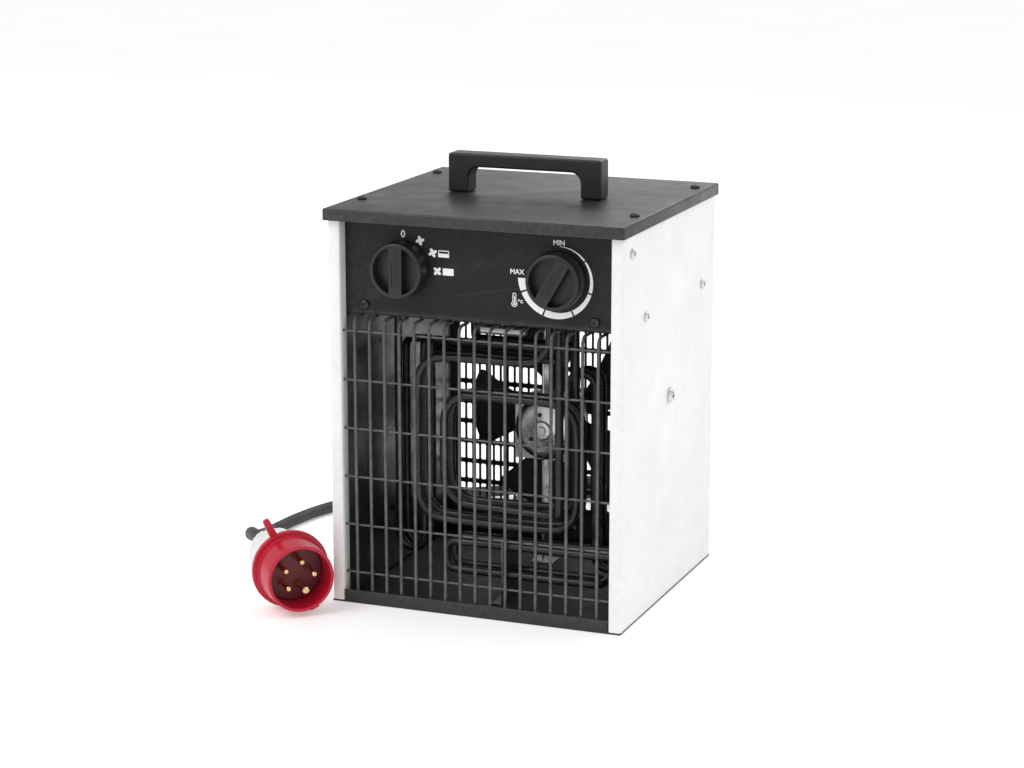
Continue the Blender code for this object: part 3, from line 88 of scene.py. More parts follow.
# ---------------------------------------------------------------- materials
class Surface:
    """A procedural finish: mottled colour and roughness, a fine grain, and worn edges."""

    def __init__(self, name, metallic=0.0, specular=0.5):
        self.material = bpy.data.materials.new(name)
        self.material.use_nodes = True
        self.tree = self.material.node_tree
        self.shader = self.tree.nodes["Principled BSDF"]
        self.shader.inputs["Metallic"].default_value = metallic
        self.shader.inputs["Specular IOR Level"].default_value = specular
        self.place = self.node("ShaderNodeTexCoord").outputs["Object"]
        self.relief = None

    def node(self, kind, **settings):
        made = self.tree.nodes.new(kind)
        for key, value in settings.items():
            setattr(made, key, value)
        return made

    def join(self, source, target):
        self.tree.links.new(source, target)

    def stretched(self, scale):
        mapping = self.node("ShaderNodeMapping")
        mapping.inputs["Scale"].default_value = scale
        self.join(self.place, mapping.inputs["Vector"])
        return mapping.outputs["Vector"]

    def noise(self, scale, detail=4.0, rough=0.55, stretch=None):
        made = self.node("ShaderNodeTexNoise")
        made.inputs["Scale"].default_value = scale
        made.inputs["Detail"].default_value = detail
        made.inputs["Roughness"].default_value = rough
        self.join(self.stretched(stretch) if stretch else self.place, made.inputs["Vector"])
        return made.outputs["Fac"]

    def ranged(self, value, low, high, start=0.3, end=0.7):
        made = self.node("ShaderNodeMapRange")
        made.inputs["From Min"].default_value = start
        made.inputs["From Max"].default_value = end
        made.inputs["To Min"].default_value = low
        made.inputs["To Max"].default_value = high
        self.join(value, made.inputs["Value"])
        return made.outputs["Result"]

    def mixed(self, share, first, second):
        """Two colours, or a colour and an earlier output, mixed by a share."""
        made = self.node("ShaderNodeMix", data_type="RGBA")
        self.join(share, made.inputs["Factor"])
        for colour, socket in ((first, made.inputs["A"]), (second, made.inputs["B"])):
            if isinstance(colour, bpy.types.NodeSocket):
                self.join(colour, socket)
            else:
                socket.default_value = (*colour, 1)
        return made.outputs["Result"]

    def times(self, first, second):
        made = self.node("ShaderNodeMath", operation="MULTIPLY")
        self.join(first, made.inputs[0])
        self.join(second, made.inputs[1])
        return made.outputs["Value"]

    def edges(self, start=0.52, end=0.60):
        """High on outward edges, broken up by a noise."""
        point = self.node("ShaderNodeNewGeometry").outputs["Pointiness"]
        return self.times(self.ranged(point, 0.0, 1.0, start, end), self.ranged(self.noise(160), 0.2, 1.0))

    def bumped(self, height, strength, distance):
        made = self.node("ShaderNodeBump")
        made.inputs["Strength"].default_value = strength
        made.inputs["Distance"].default_value = distance
        self.join(height, made.inputs["Height"])
        if self.relief:
            self.join(self.relief, made.inputs["Normal"])
        self.relief = made.outputs["Normal"]

    def finished(self, colour, roughness):
        self.join(colour, self.shader.inputs["Base Color"])
        self.join(roughness, self.shader.inputs["Roughness"])
        if self.relief:
            self.join(self.relief, self.shader.inputs["Normal"])
        return self.material


def shade(colour, factor):
    return tuple(min(1.0, channel * factor) for channel in colour)


def painted(name, colour, roughness, peel=700, peel_height=0.05 * MM, mottle=0.05, specular=0.5, bare=None):
    """Powder coat or moulded plastic: a fine orange peel, faint mottling, rubbed edges."""
    finish = Surface(name, specular=specular)
    cloud = finish.ranged(finish.noise(18), 0, 1)
    tone = finish.mixed(cloud, shade(colour, 1 - mottle), shade(colour, 1 + mottle))
    if bare:
        tone = finish.mixed(finish.edges(), tone, bare)
    finish.bumped(finish.noise(peel, 2.0), 0.5, peel_height)
    return finish.finished(tone, finish.ranged(finish.noise(45), roughness - 0.05, roughness + 0.07))


def bare_metal(name, colour, roughness, grain=(1, 1, 1), grain_scale=400, height=0.02 * MM, mottle=0.12):
    """Plated, drawn or cast metal whose grain may be stretched one way."""
    finish = Surface(name, metallic=1.0)
    stained = finish.ranged(finish.noise(35, 6.0, 0.65), 0, 1)
    tone = finish.mixed(stained, shade(colour, 1 - mottle), shade(colour, 1 + mottle))
    finish.bumped(finish.noise(grain_scale, 3.0, stretch=grain), 0.5, height)
    streaks = finish.noise(60, 4.0, stretch=grain)
    return finish.finished(tone, finish.ranged(streaks, roughness - 0.07, roughness + 0.10))


def galvanised_sheet(name, colour):
    """Zinc-coated sheet with its pattern of crystals."""
    finish = Surface(name, metallic=1.0)
    crystals = finish.node("ShaderNodeTexVoronoi")
    crystals.inputs["Scale"].default_value = 95
    crystals.inputs["Randomness"].default_value = 1.0
    finish.join(finish.place, crystals.inputs["Vector"])
    grey = finish.node("ShaderNodeSeparateColor")
    finish.join(crystals.outputs["Color"], grey.inputs["Color"])
    tone = finish.mixed(grey.outputs["Red"], shade(colour, 0.82), shade(colour, 1.15))
    stained = finish.mixed(finish.ranged(finish.noise(14, 5.0), 0, 0.5), tone, shade(colour, 0.45))
    finish.bumped(finish.noise(250, 3.0), 0.4, 0.02 * MM)
    return finish.finished(stained, finish.ranged(grey.outputs["Green"], 0.27, 0.42, 0, 1))


def heated_sheath(name):
    """The steel sheath of a heating element: dark scale, with straw and blue tinges."""
    finish = Surface(name, metallic=0.6)
    flakes = finish.ranged(finish.noise(55, 6.0, 0.7), 0, 1)
    scale = finish.mixed(flakes, (0.030, 0.030, 0.029), (0.058, 0.056, 0.053))
    straw = finish.ranged(finish.noise(9, 2.0), 0, 0.35, 0.45, 0.7)
    warm = finish.mixed(straw, scale, (0.075, 0.060, 0.046))
    blue = finish.ranged(finish.noise(12, 3.0), 0, 0.3, 0.5, 0.75)
    tone = finish.mixed(blue, warm, (0.034, 0.040, 0.050))
    finish.bumped(finish.noise(600, 3.0), 0.4, 0.03 * MM)
    return finish.finished(tone, finish.ranged(finish.noise(80, 4.0), 0.24, 0.36))


def moulded(name, colour, roughness, grain=900, height=0.03 * MM, specular=0.5):
    """Moulded plastic or rubber with a spark-eroded texture."""
    finish = Surface(name, specular=specular)
    cloud = finish.ranged(finish.noise(25, 3.0), 0, 1)
    tone = finish.mixed(cloud, shade(colour, 0.93), shade(colour, 1.07))
    rubbed = finish.times(finish.edges(), finish.ranged(finish.noise(70), 0, 0.5))
    worn = finish.mixed(rubbed, tone, shade(colour, 1.8))
    finish.bumped(finish.noise(grain, 2.0), 0.6, height)
    return finish.finished(worn, finish.ranged(finish.noise(50), roughness - 0.06, roughness + 0.06))


def sheathing(name):
    """The rubber sheath of the lead, dull, with chalk and a fine grain."""
    finish = Surface(name, specular=0.35)
    dust = finish.ranged(finish.noise(40, 6.0, 0.7), 0, 0.5, 0.45, 0.75)
    tone = finish.mixed(dust, (0.030, 0.030, 0.031), (0.075, 0.075, 0.073))
    finish.bumped(finish.noise(420, 4.0), 0.6, 0.08 * MM)
    return finish.finished(tone, finish.ranged(finish.noise(90), 0.50, 0.68))


def ink(name, colour):
    """Screen-printed ink, slightly uneven."""
    finish = Surface(name)
    tone = finish.mixed(finish.ranged(finish.noise(300, 3.0), 0, 1), shade(colour, 0.93), colour)
    finish.bumped(finish.noise(900, 2.0), 0.3, 0.01 * MM)
    return finish.finished(tone, finish.ranged(finish.noise(200), 0.40, 0.50))


def turned_metal(name, colour, roughness):
    """Machined metal with a fine grain."""
    return bare_metal(name, colour, roughness, grain_scale=1500, height=0.015 * MM, mottle=0.08)


def studio_floor(name):
    finish = Surface(name, specular=0.2)
    tone = finish.mixed(finish.ranged(finish.noise(3, 2.0), 0, 1), (0.90, 0.90, 0.90), (0.92, 0.92, 0.92))
    finish.join(tone, finish.shader.inputs["Emission Color"])
    finish.shader.inputs["Emission Strength"].default_value = 0.30
    return finish.finished(tone, finish.ranged(finish.noise(8), 0.6, 0.7))


FINISHES = {
    "white_paint": painted("white_powder_coat", (0.84, 0.84, 0.835), 0.42, bare=(0.70, 0.70, 0.69)),
    "black_paint": painted(
        "charcoal_powder_coat", (0.014, 0.0145, 0.015), 0.42, 900, specular=0.36, bare=(0.07, 0.07, 0.07)
    ),
    "panel_black": painted(
        "black_panel_paint", (0.005, 0.005, 0.005), 0.46, specular=0.25, bare=(0.03, 0.03, 0.03)
    ),
    "galvanised": galvanised_sheet("galvanised_sheet", (0.22, 0.225, 0.23)),
    "guard_wire": painted(
        "wire_coating", (0.030, 0.036, 0.035), 0.28, 1200, mottle=0.10, bare=(0.10, 0.115, 0.11)
    ),
    "element_steel": heated_sheath("heated_sheath"),
    "bright_steel": bare_metal("zinc_plated_steel", (0.62, 0.62, 0.60), 0.28),
    "dark_screw": bare_metal("blackened_screw", (0.060, 0.060, 0.062), 0.40, mottle=0.2),
    "white_screw": bare_metal("plated_screw", (0.66, 0.66, 0.64), 0.30),
    "aluminium": bare_metal("cast_aluminium", (0.70, 0.70, 0.68), 0.24, height=0.04 * MM),
    "fan_black": painted("fan_paint", (0.022, 0.022, 0.023), 0.50, bare=(0.08, 0.08, 0.08)),
    "black_plastic": moulded("black_plastic", (0.012, 0.012, 0.0125), 0.40, specular=0.4),
    "switch_plastic": moulded("switch_plastic", (0.10, 0.10, 0.10), 0.50),
    "block_plastic": moulded("ivory_plastic", (0.66, 0.63, 0.54), 0.50),
    "nickel": turned_metal("nickel_plate", (0.42, 0.42, 0.40), 0.32),
    "cord_rubber": sheathing("rubber_sheath"),
    "plug_red": moulded("red_plastic", (0.46, 0.006, 0.028), 0.30, 1100, 0.02 * MM, specular=0.4),
    "plug_grey": moulded("light_grey_plastic", (0.74, 0.74, 0.73), 0.36, height=0.02 * MM),
    "brass": turned_metal("turned_brass", (0.76, 0.58, 0.28), 0.24),
}
WHITE_INK = ink("white_ink", (0.86, 0.86, 0.85))
# The carrier's red is the plug's red darkened: painted shade for the shadow deep inside the shroud.
SHADED_PLUG_RED = moulded("red_carrier_painted_shade", (0.12, 0.002, 0.010), 0.42)


# ---------------------------------------------------------------- mesh helpers
def box(low, high):
    bm = bmesh.new()
    size = Vector(high) - Vector(low)
    matrix = Matrix.Translation((Vector(low) + Vector(high)) / 2) @ Matrix.Diagonal((*size, 1))
    bmesh.ops.create_cube(bm, size=1, matrix=matrix)
    return bm


def prism(outline, low, high, turn=None):
    """The outline in XY, extruded from z = low to z = high, then turned."""
    bm = bmesh.new()
    bottom = bm.faces.new([bm.verts.new((x, y, low)) for x, y in outline])
    made = bmesh.ops.extrude_face_region(bm, geom=[bottom])["geom"]
    top = [item for item in made if isinstance(item, bmesh.types.BMVert)]
    bmesh.ops.translate(bm, verts=top, vec=(0, 0, high - low))
    bmesh.ops.recalc_face_normals(bm, faces=bm.faces)
    if turn:
        bm.transform(turn)
    return bm


def turned(profile, sides, turn=None, closed=False):
    """A solid of revolution about Z, from (radius, height) pairs up the outside or round a closed ring."""
    bm = bmesh.new()
    angles = [2 * math.pi * step / sides for step in range(sides)]
    rings = []
    for radius, height in profile:
        spots = angles if radius else angles[:1]
        rings.append([bm.verts.new((radius * math.cos(a), radius * math.sin(a), height)) for a in spots])
    pairs = list(zip(rings, rings[1:] + rings[:1]))
    for lower, upper in pairs if closed else pairs[:-1]:
        for step in range(sides):
            after = (step + 1) % sides
            corners = [lower[step % len(lower)], lower[after % len(lower)]]
            corners += [upper[after % len(upper)], upper[step % len(upper)]]
            bm.faces.new(list(dict.fromkeys(corners)))
    bmesh.ops.recalc_face_normals(bm, faces=bm.faces)
    if turn:
        bm.transform(turn)
    return bm


def together(pieces):
    """Separate shapes as one mesh."""
    whole = bmesh.new()
    for piece in pieces:
        mesh = bpy.data.meshes.new("piece")
        piece.to_mesh(mesh)
        piece.free()
        whole.from_mesh(mesh)
        bpy.data.meshes.remove(mesh)
    return whole


def arc(centre, radius, start, end, steps):
    """Points on an arc, its angles in degrees."""
    points = []
    for step in range(steps + 1):
        angle = math.radians(start + (end - start) * step / steps)
        points.append((centre[0] + radius * math.cos(angle), centre[1] + radius * math.sin(angle)))
    return points


def softened(corners, radius, steps=5):
    """A closed outline whose corners are rounded by quadratic curves."""
    corners = [Vector(corner) for corner in corners]
    outline = []
    for index, corner in enumerate(corners):
        before = corners[index - 1] - corner
        after = corners[(index + 1) % len(corners)] - corner
        reach = min(radius, before.length / 2.2, after.length / 2.2)
        start = corner + before.normalized() * reach
        end = corner + after.normalized() * reach
        for step in range(steps + 1):
            share = step / steps
            outline.append((1 - share) ** 2 * start + 2 * share * (1 - share) * corner + share**2 * end)
    return [tuple(point) for point in outline]


def rounded(corners, radius, steps=8):
    """The corners' path with an arc at each corner between its ends."""
    corners = [Vector(corner) for corner in corners]
    path = [corners[0]]
    for before, corner, after in zip(corners, corners[1:], corners[2:]):
        back = (before - corner).normalized()
        ahead = (after - corner).normalized()
        half = back.angle(ahead) / 2
        turn = math.pi - 2 * half
        centre = corner + (back + ahead).normalized() * radius / math.sin(half)
        first = corner + back * radius / math.tan(half) - centre
        last = corner + ahead * radius / math.tan(half) - centre
        for step in range(steps + 1):
            share = step / steps
            blend = first * math.sin((1 - share) * turn) + last * math.sin(share * turn)
            path.append(centre + blend / math.sin(turn))
    return path + [corners[-1]]


def piece(name, bm, finish, body, nodes=(), angle=32, bevel=0.0, segments=2):
    """One visible piece, its finish by slot or by material, riding on a body and standing for CAD nodes."""
    mesh = bpy.data.meshes.new(name)
    bm.to_mesh(mesh)
    bm.free()
    mesh.shade_smooth()
    mesh.set_sharp_from_angle(angle=math.radians(angle))
    obj = bpy.data.objects.new(name, mesh)
    bpy.context.scene.collection.objects.link(obj)
    dress(obj, finish)
    if bevel:
        bevel_edges(obj, bevel, segments, angle)
    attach(obj, body)
    if nodes:
        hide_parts(*nodes)
    return obj


def dress(obj, finish):
    obj.data.materials.clear()
    obj.data.materials.append(FINISHES[finish] if isinstance(finish, str) else finish)


def bevel_edges(obj, width, segments, angle):
    modifier = obj.modifiers.new("edges", "BEVEL")
    modifier.width = width
    modifier.segments = segments
    modifier.limit_method = "ANGLE"
    modifier.angle_limit = math.radians(angle)
    modifier.harden_normals = True
    modifier.use_clamp_overlap = True


def applied(obj):
    """The object's evaluated shape as a new mesh, its modifiers removed."""
    graph = bpy.context.evaluated_depsgraph_get()
    mesh = bpy.data.meshes.new_from_object(obj.evaluated_get(graph))
    obj.modifiers.clear()
    obj.data = mesh
    return obj


def cut_away(obj, bm):
    """Takes a shape out of a piece for good."""
    mesh = bpy.data.meshes.new("cutter")
    bm.to_mesh(mesh)
    bm.free()
    cutter = bpy.data.objects.new("cutter", mesh)
    bpy.context.scene.collection.objects.link(cutter)
    modifier = obj.modifiers.new("cut", "BOOLEAN")
    modifier.object = cutter
    modifier.operation = "DIFFERENCE"
    modifier.solver = "EXACT"
    applied(obj)
    bpy.data.objects.remove(cutter)
    return obj


def refined(node, bevel=0.0, segments=2, subdivide=0, angle=32):
    """A CAD node's shape with its facets welded, its flat faces merged and its edges rounded."""
    bm = bmesh.new()
    bm.from_mesh(NODES[node].data)
    bmesh.ops.remove_doubles(bm, verts=bm.verts, dist=0.002 * MM)
    if bevel:
        bmesh.ops.dissolve_limit(bm, angle_limit=math.radians(0.5), verts=bm.verts, edges=bm.edges)
    made = piece(f"{node}_shape", bm, SLOTS[node], BODIES[node], (node,), angle, bevel, segments)
    if subdivide:
        modifier = made.modifiers.new("round", "SUBSURF")
        modifier.levels = subdivide
        modifier.render_levels = subdivide
    return made


# ---------------------------------------------------------------- camera, light and floor
AIM = Vector((0.0003, -0.0368, 0.1966))
DISTANCE = 2.40
AZIMUTH = math.radians(21.54)
PITCH = math.radians(13.16)
LENS = 91.73
WORLD_LIGHT = 0.76
FLOOR_HALF = 12
# name, place, point it looks at, size, power
LIGHTS = (
    ("key", (-1.3, -1.6, 2.3), (0, 0, 0.15), (1.6, 1.6), 28),
    ("fill", (1.9, -0.9, 1.5), (0, 0, 0.20), (1.4, 1.8), 6),
    ("back", (0.3, 2.2, 1.9), (0, 0, 0.20), (2.2, 1.4), 22),
)


def make_camera():
    level = math.cos(PITCH)
    back = Vector((math.sin(AZIMUTH) * level, -math.cos(AZIMUTH) * level, math.sin(PITCH)))
    data = bpy.data.cameras.new("camera")
    data.lens = LENS
    data.sensor_width = 36
    camera = bpy.data.objects.new("camera", data)
    camera.location = AIM + back * DISTANCE
    camera.rotation_euler = back.to_track_quat("Z", "Y").to_euler()
    bpy.context.scene.collection.objects.link(camera)
    bpy.context.scene.camera = camera


def area_light(name, at, towards, size, power):
    data = bpy.data.lights.new(name, "AREA")
    data.shape = "RECTANGLE"
    data.size, data.size_y = size
    data.energy = power
    light = bpy.data.objects.new(name, data)
    light.location = at
    light.rotation_euler = (Vector(at) - Vector(towards)).to_track_quat("Z", "Y").to_euler()
    bpy.context.scene.collection.objects.link(light)


def make_studio():
    world = bpy.data.worlds.new("studio")
    world.use_nodes = True
    background = world.node_tree.nodes["Background"]
    background.inputs["Color"].default_value = (1, 1, 1, 1)
    background.inputs["Strength"].default_value = WORLD_LIGHT
    bpy.context.scene.world = world
    bpy.context.scene.view_settings.view_transform = "Standard"
    for light in LIGHTS:
        area_light(*light)
    mesh = bpy.data.meshes.new("floor")
    bm = bmesh.new()
    bmesh.ops.create_grid(bm, x_segments=4, y_segments=4, size=FLOOR_HALF)
    bm.to_mesh(mesh)
    bm.free()
    floor = bpy.data.objects.new("floor", mesh)
    floor.location.z = -0.1 * MM
    mesh.materials.append(studio_floor("studio_floor"))
    bpy.context.scene.collection.objects.link(floor)


# ---------------------------------------------------------------- power lead
CORD = 11.5 * MM
EXIT_ROUTE = (
    (0.0920, 0.1764, 0.3000),
    (0.0920, 0.1920, 0.3000),
    (0.0920, 0.2080, 0.2955),
    (0.0920, 0.2220, 0.2840),
    (0.0920, 0.2318, 0.2700),
    (0.0920, 0.2362, 0.2530),
    (0.0920, 0.2370, 0.2300),
    (0.0920, 0.2370, 0.1850),
    (0.0920, 0.2370, 0.1400),
    (0.0920, 0.2370, 0.0950),
    (0.0916, 0.2372, 0.0640),
    (0.0850, 0.2408, 0.0338),
    (0.0680, 0.2500, 0.0135),
    (0.0437, 0.2632, 0.0062),
    (0.0380, 0.2663, 0.0062),
)
PLUG_ROUTE = (
    (-0.1080, 0.2590, 0.0100),
    (-0.1500, 0.2400, 0.0062),
    (-0.1930, 0.2180, 0.0062),
    (-0.2300, 0.1900, 0.0062),
    (-0.2570, 0.1560, 0.0062),
    (-0.2730, 0.1180, 0.0062),
    (-0.2815, 0.0780, 0.0062),
    (-0.2845, 0.0380, 0.0068),
    (-0.2815, 0.0000, 0.0115),
    (-0.2735, -0.0330, 0.0215),
    (-0.2600, -0.0590, 0.0325),
    (-0.2445, -0.0781, 0.0363),
    (-0.2311, -0.0928, 0.0363),
)
COIL_OUTER = 66.0 * MM
COIL_INNER = 54.3 * MM
COIL_CROSSING = 60.4 * MM  # where the cord passes over its outer turn
COIL_STEP = 15.0
COIL_ENTRY = 61.5  # degrees anticlockwise from +X
COIL_EXIT = 114.3 + 720
ON_FLOOR = 6.2 * MM
ON_TURN = ON_FLOOR + CORD


def eased(share):
    share = max(0.0, min(1.0, share))
    return (1 - math.cos(math.pi * share)) / 2


def coil_turns():
    """Two turns side by side on the floor, then up and over the outer one."""
    centre = middle("cord_coil")
    points = []
    steps = round((COIL_EXIT - COIL_ENTRY) / COIL_STEP)
    for step in range(1, steps + 1):
        angle = COIL_ENTRY + (COIL_EXIT - COIL_ENTRY) * step / steps
        inward = eased((angle - COIL_ENTRY - 230) / 115)
        outward = eased((angle - COIL_ENTRY - 720) / (COIL_EXIT - COIL_ENTRY - 720))
        radius = COIL_OUTER + (COIL_INNER - COIL_OUTER) * inward + (COIL_CROSSING - COIL_INNER) * outward
        height = ON_FLOOR + CORD * eased((angle - COIL_ENTRY - 636) / 84)
        turn = math.radians(angle)
        points.append((centre.x + radius * math.cos(turn), centre.y + radius * math.sin(turn), height))
    leaving = Vector((-math.sin(turn), math.cos(turn), 0))
    for distance, height in ((20 * MM, ON_TURN), (39 * MM, ON_TURN - 1.4 * MM)):
        points.append(Vector((*points[steps - 1][:2], height)) + leaving * distance)
    return points


def smooth_route(points, spacing):
    """Evenly spaced points on the smooth curve through the route's own points."""
    points = [Vector(point) for point in points]
    padded = [2 * points[0] - points[1], *points, 2 * points[-1] - points[-2]]
    fine = []
    for a, b, c, d in zip(padded, padded[1:], padded[2:], padded[3:]):
        slope = c - a
        bend = 2 * a - 5 * b + 4 * c - d
        rest = 3 * b - a - 3 * c + d
        for step in range(20):
            t = step / 20
            fine.append(b + (slope * t + bend * t**2 + rest * t**3) / 2)
    fine.append(points[-1])
    length = sum((after - before).length for before, after in zip(fine, fine[1:]))
    count = max(2, round(length / spacing))
    even = [fine[0]]
    travelled = 0.0
    for before, after in zip(fine, fine[1:]):
        travelled += (after - before).length
        if travelled >= len(even) * length / count and len(even) < count:
            even.append(after)
    return even + [fine[-1]]


def wire_curve(name, paths, diameter, finish, resolution=3):
    """Round wires along paths, as one curve object."""
    curve = bpy.data.curves.new(name, "CURVE")
    curve.dimensions = "3D"
    curve.bevel_depth = diameter / 2
    curve.bevel_resolution = resolution
    curve.use_fill_caps = True
    for path in paths:
        spline = curve.splines.new("POLY")
        spline.points.add(len(path) - 1)
        for spot, point in zip(spline.points, path):
            spot.co = (*point, 1)
        spline.use_smooth = True
    curve.materials.append(FINISHES[finish])
    obj = bpy.data.objects.new(name, curve)
    bpy.context.scene.collection.objects.link(obj)
    return obj


def make_cord():
    route = [*EXIT_ROUTE[1:], *coil_turns(), *PLUG_ROUTE[:-1]]
    points = [EXIT_ROUTE[0], *smooth_route(route, 6 * MM), PLUG_ROUTE[-1]]
    cord = wire_curve("power_cord", [points], CORD, "cord_rubber", 4)
    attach(cord, "case")
    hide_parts("cord_exit_run", "cord_coil", "cord_plug_run")
    return cord


def make_strain_relief():
    """A tapered rubber sleeve with rings moulded round it."""
    low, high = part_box("strain_relief")
    centre = middle("strain_relief")
    length = high.y - low.y
    wide = (high.x - low.x) / 2
    narrow = CORD / 2 + 0.8 * MM
    profile = [(0, 0), (wide, 0)]
    rings = 7
    for ring in range(rings):
        for share, sunk in ((0.12, 0), (0.62, 0), (0.68, 1), (0.98, 1)):
            along = (ring + share) / rings
            radius = wide + (narrow - wide) * along - sunk * 1.1 * MM
            profile.append((max(radius, CORD / 2 + 0.2 * MM), along * length))
    profile += [(CORD / 2 + 0.2 * MM, length), (0, length)]
    sleeve = turned(profile, 48, placed((centre.x, low.y, centre.z), (0, 1, 0)))
    return piece("strain_relief_sleeve", sleeve, "cord_rubber", "case", ("strain_relief",), 28)


def make_gland():
    """A hexagon body against the panel and a ribbed cap nut with a domed end."""
    low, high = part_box("cable_gland")
    centre = middle("cable_gland")
    radius = (high.x - low.x) / 2
    length = high.y - low.y
    turn = placed((centre.x, low.y, centre.z), (0, 1, 0))
    hexagon = prism(arc((0, 0), radius, 0, 300, 5), 0, 5.5 * MM, turn)
    ribs = 24
    outline = []
    for rib in range(ribs):
        for share, reach in ((0.0, 0.86), (0.5, 0.86), (0.55, 0.815), (0.95, 0.815)):
            outline.append(arc((0, 0), radius * reach, (rib + share) * 360 / ribs, 0, 1)[0])
    cap = prism(outline, 5.4 * MM, length - 5 * MM, turn)
    dome = [(0, length - 5.2 * MM), (radius * 0.85, length - 5.2 * MM), (radius * 0.84, length - 3.6 * MM)]
    dome += [(radius * 0.76, length - 1.4 * MM), (CORD / 2 + 1.5 * MM, length), (0, length)]
    shape = together([hexagon, cap, turned(dome, 48, turn)])
    return piece("cable_gland_body", shape, "black_plastic", "case", ("cable_gland",), 30, 0.25 * MM)


# ---------------------------------------------------------------- plug
def in_plug(bm):
    bm.transform(PLUG)
    return bm


def pin_spots():
    """The contacts' places and diameters, the earth contact first, at the bottom by the key."""
    spots = []
    for index in range(5):
        angle = math.radians(-90 + 72 * index)
        spots.append((14.2 * MM * math.cos(angle), 14.2 * MM * math.sin(angle), (5 if index else 7) * MM))
    return spots


def make_plug():
    rim, bore, flange = 31.0 * MM, 27.7 * MM, 36.0 * MM
    shroud = [(bore + 1 * MM, -46), (rim - 1.5 * MM, -46), (rim - 1.5 * MM, -38.6)]
    shroud += [(flange - 0.8 * MM, -38.6), (flange, -38.0), (flange, -34.2), (flange - 0.8 * MM, -33.5)]
    shroud += [(rim + 1.3 * MM, -33.3), (rim + 1.3 * MM, -31.5), (rim + 0.4 * MM, -30.8)]
    shroud += [(rim - 0.1 * MM, -1.2), (rim - 0.4 * MM, -0.3), (rim - 1.1 * MM, 0), (bore + 0.9 * MM, 0)]
    shroud += [(bore + 0.25 * MM, -0.3), (bore, -1.0), (bore - 0.3 * MM, -35.5)]
    shell = turned([(radius, height * MM) for radius, height in shroud], 96, PLUG, closed=True)
    piece("plug_shell", shell, "plug_red", "case", ("plug_shroud",), 26)
    key = prism(softened([(-4.5 * MM, -rim - 3 * MM), (4.5 * MM, -rim - 3 * MM), (4.5 * MM, -rim + 1 * MM),
                          (-4.5 * MM, -rim + 1 * MM)], 1 * MM), -33 * MM, -5.5 * MM)
    piece("plug_key", in_plug(key), "plug_red", "case", bevel=0.5 * MM, segments=3)
    prong = [(-3.6, 33.5), (3.6, 33.5), (3.3, 46), (3.0, 53.5), (-3.0, 53.5), (-3.3, 46)]
    tab = prism(softened([(x * MM, y * MM) for x, y in prong], 2 * MM), -38.2 * MM, -34.0 * MM)
    piece("plug_tab", in_plug(tab), "plug_red", "case", bevel=0.7 * MM, segments=3)
    make_pin_carrier(bore - 0.4 * MM)
    make_contacts()
    make_plug_back()


def make_pin_carrier(radius):
    """The disc that holds the contacts, with a raised collar round each."""
    face = [(0, -35.0), (radius, -35.0), (radius, -27.6), (radius - 0.6 * MM, -27.0), (0, -27.0)]
    disc = turned([(r, z * MM) for r, z in face], 72, PLUG)
    collars = []
    for x, y, diameter in pin_spots():
        wide = diameter / 2 + 1.6 * MM
        close = diameter / 2 + 0.15 * MM
        ring = [(close, -27.2), (wide, -27.2), (wide - 0.3 * MM, -26.0), (close, -26.0)]
        turn = PLUG @ Matrix.Translation((x, y, 0))
        collars.append(turned([(r, z * MM) for r, z in ring], 28, turn, closed=True))
    # Its darker red is painted shade from the shroud round it.
    piece("plug_carrier", together([disc, *collars]), SHADED_PLUG_RED, "case", ("plug_pin_carrier",), 30)


def make_contacts():
    """Five turned pins with domed tips and a centre mark."""
    pins = []
    for x, y, diameter in pin_spots():
        half = diameter / 2
        tip = -5 * MM
        profile = [(0, -30 * MM), (half, -30 * MM), (half, tip - 1.5 * MM), (half * 0.93, tip - 0.8 * MM)]
        profile += [(half * 0.72, tip - 0.2 * MM), (half * 0.5, tip), (half * 0.24, tip)]
        profile += [(half * 0.16, tip - 0.5 * MM), (0, tip - 0.6 * MM)]
        pins.append(turned(profile, 32, PLUG @ Matrix.Translation((x, y, 0))))
    piece("plug_pins", together(pins), "brass", "case", ("plug_contacts",), 26)


def make_plug_back():
    """The rear housing with its grip flutes, and the ribbed gland nut."""
    start, end = -104.2, -46.4
    profile = [(0, start), (16.5, start), (17.6, start + 1.5), (22.3, start + 12), (24.2, start + 15)]
    profile += [(26.8, end - 14), (28.4, end - 12), (28.9, end - 3), (28.4, end), (0, end)]
    sides = 96
    housing = turned([(r * MM, z * MM) for r, z in profile], sides)
    for vertex in housing.verts:
        along = (vertex.co.z / MM - start) / (end - start)
        if 0.22 < along < 0.74:
            angle = math.atan2(vertex.co.y, vertex.co.x)
            fluted = 1 - 0.035 * max(0.0, math.cos(angle * 12))
            vertex.co.x *= fluted
            vertex.co.y *= fluted
    piece("plug_rear_housing", in_plug(housing), "plug_grey", "case", ("plug_housing",), 30)
    outline = []
    ribs = 18
    for rib in range(ribs):
        for share, reach in ((0.0, 1.0), (0.5, 1.0), (0.58, 0.93), (0.92, 0.93)):
            outline.append(arc((0, 0), 14.6 * MM * reach, (rib + share) * 360 / ribs, 0, 1)[0])
    grip = prism(outline, -116 * MM, -104.4 * MM)
    nose = [(0, -128.4), (7.6, -128.4), (8.8, -127.6), (12.2, -121), (13.6, -115.8), (0, -115.8)]
    nut = together([grip, turned([(r * MM, z * MM) for r, z in nose], 48)])
    piece("plug_cap_nut", in_plug(nut), "plug_grey", "case", ("plug_gland_nut",), 30, 0.3 * MM)


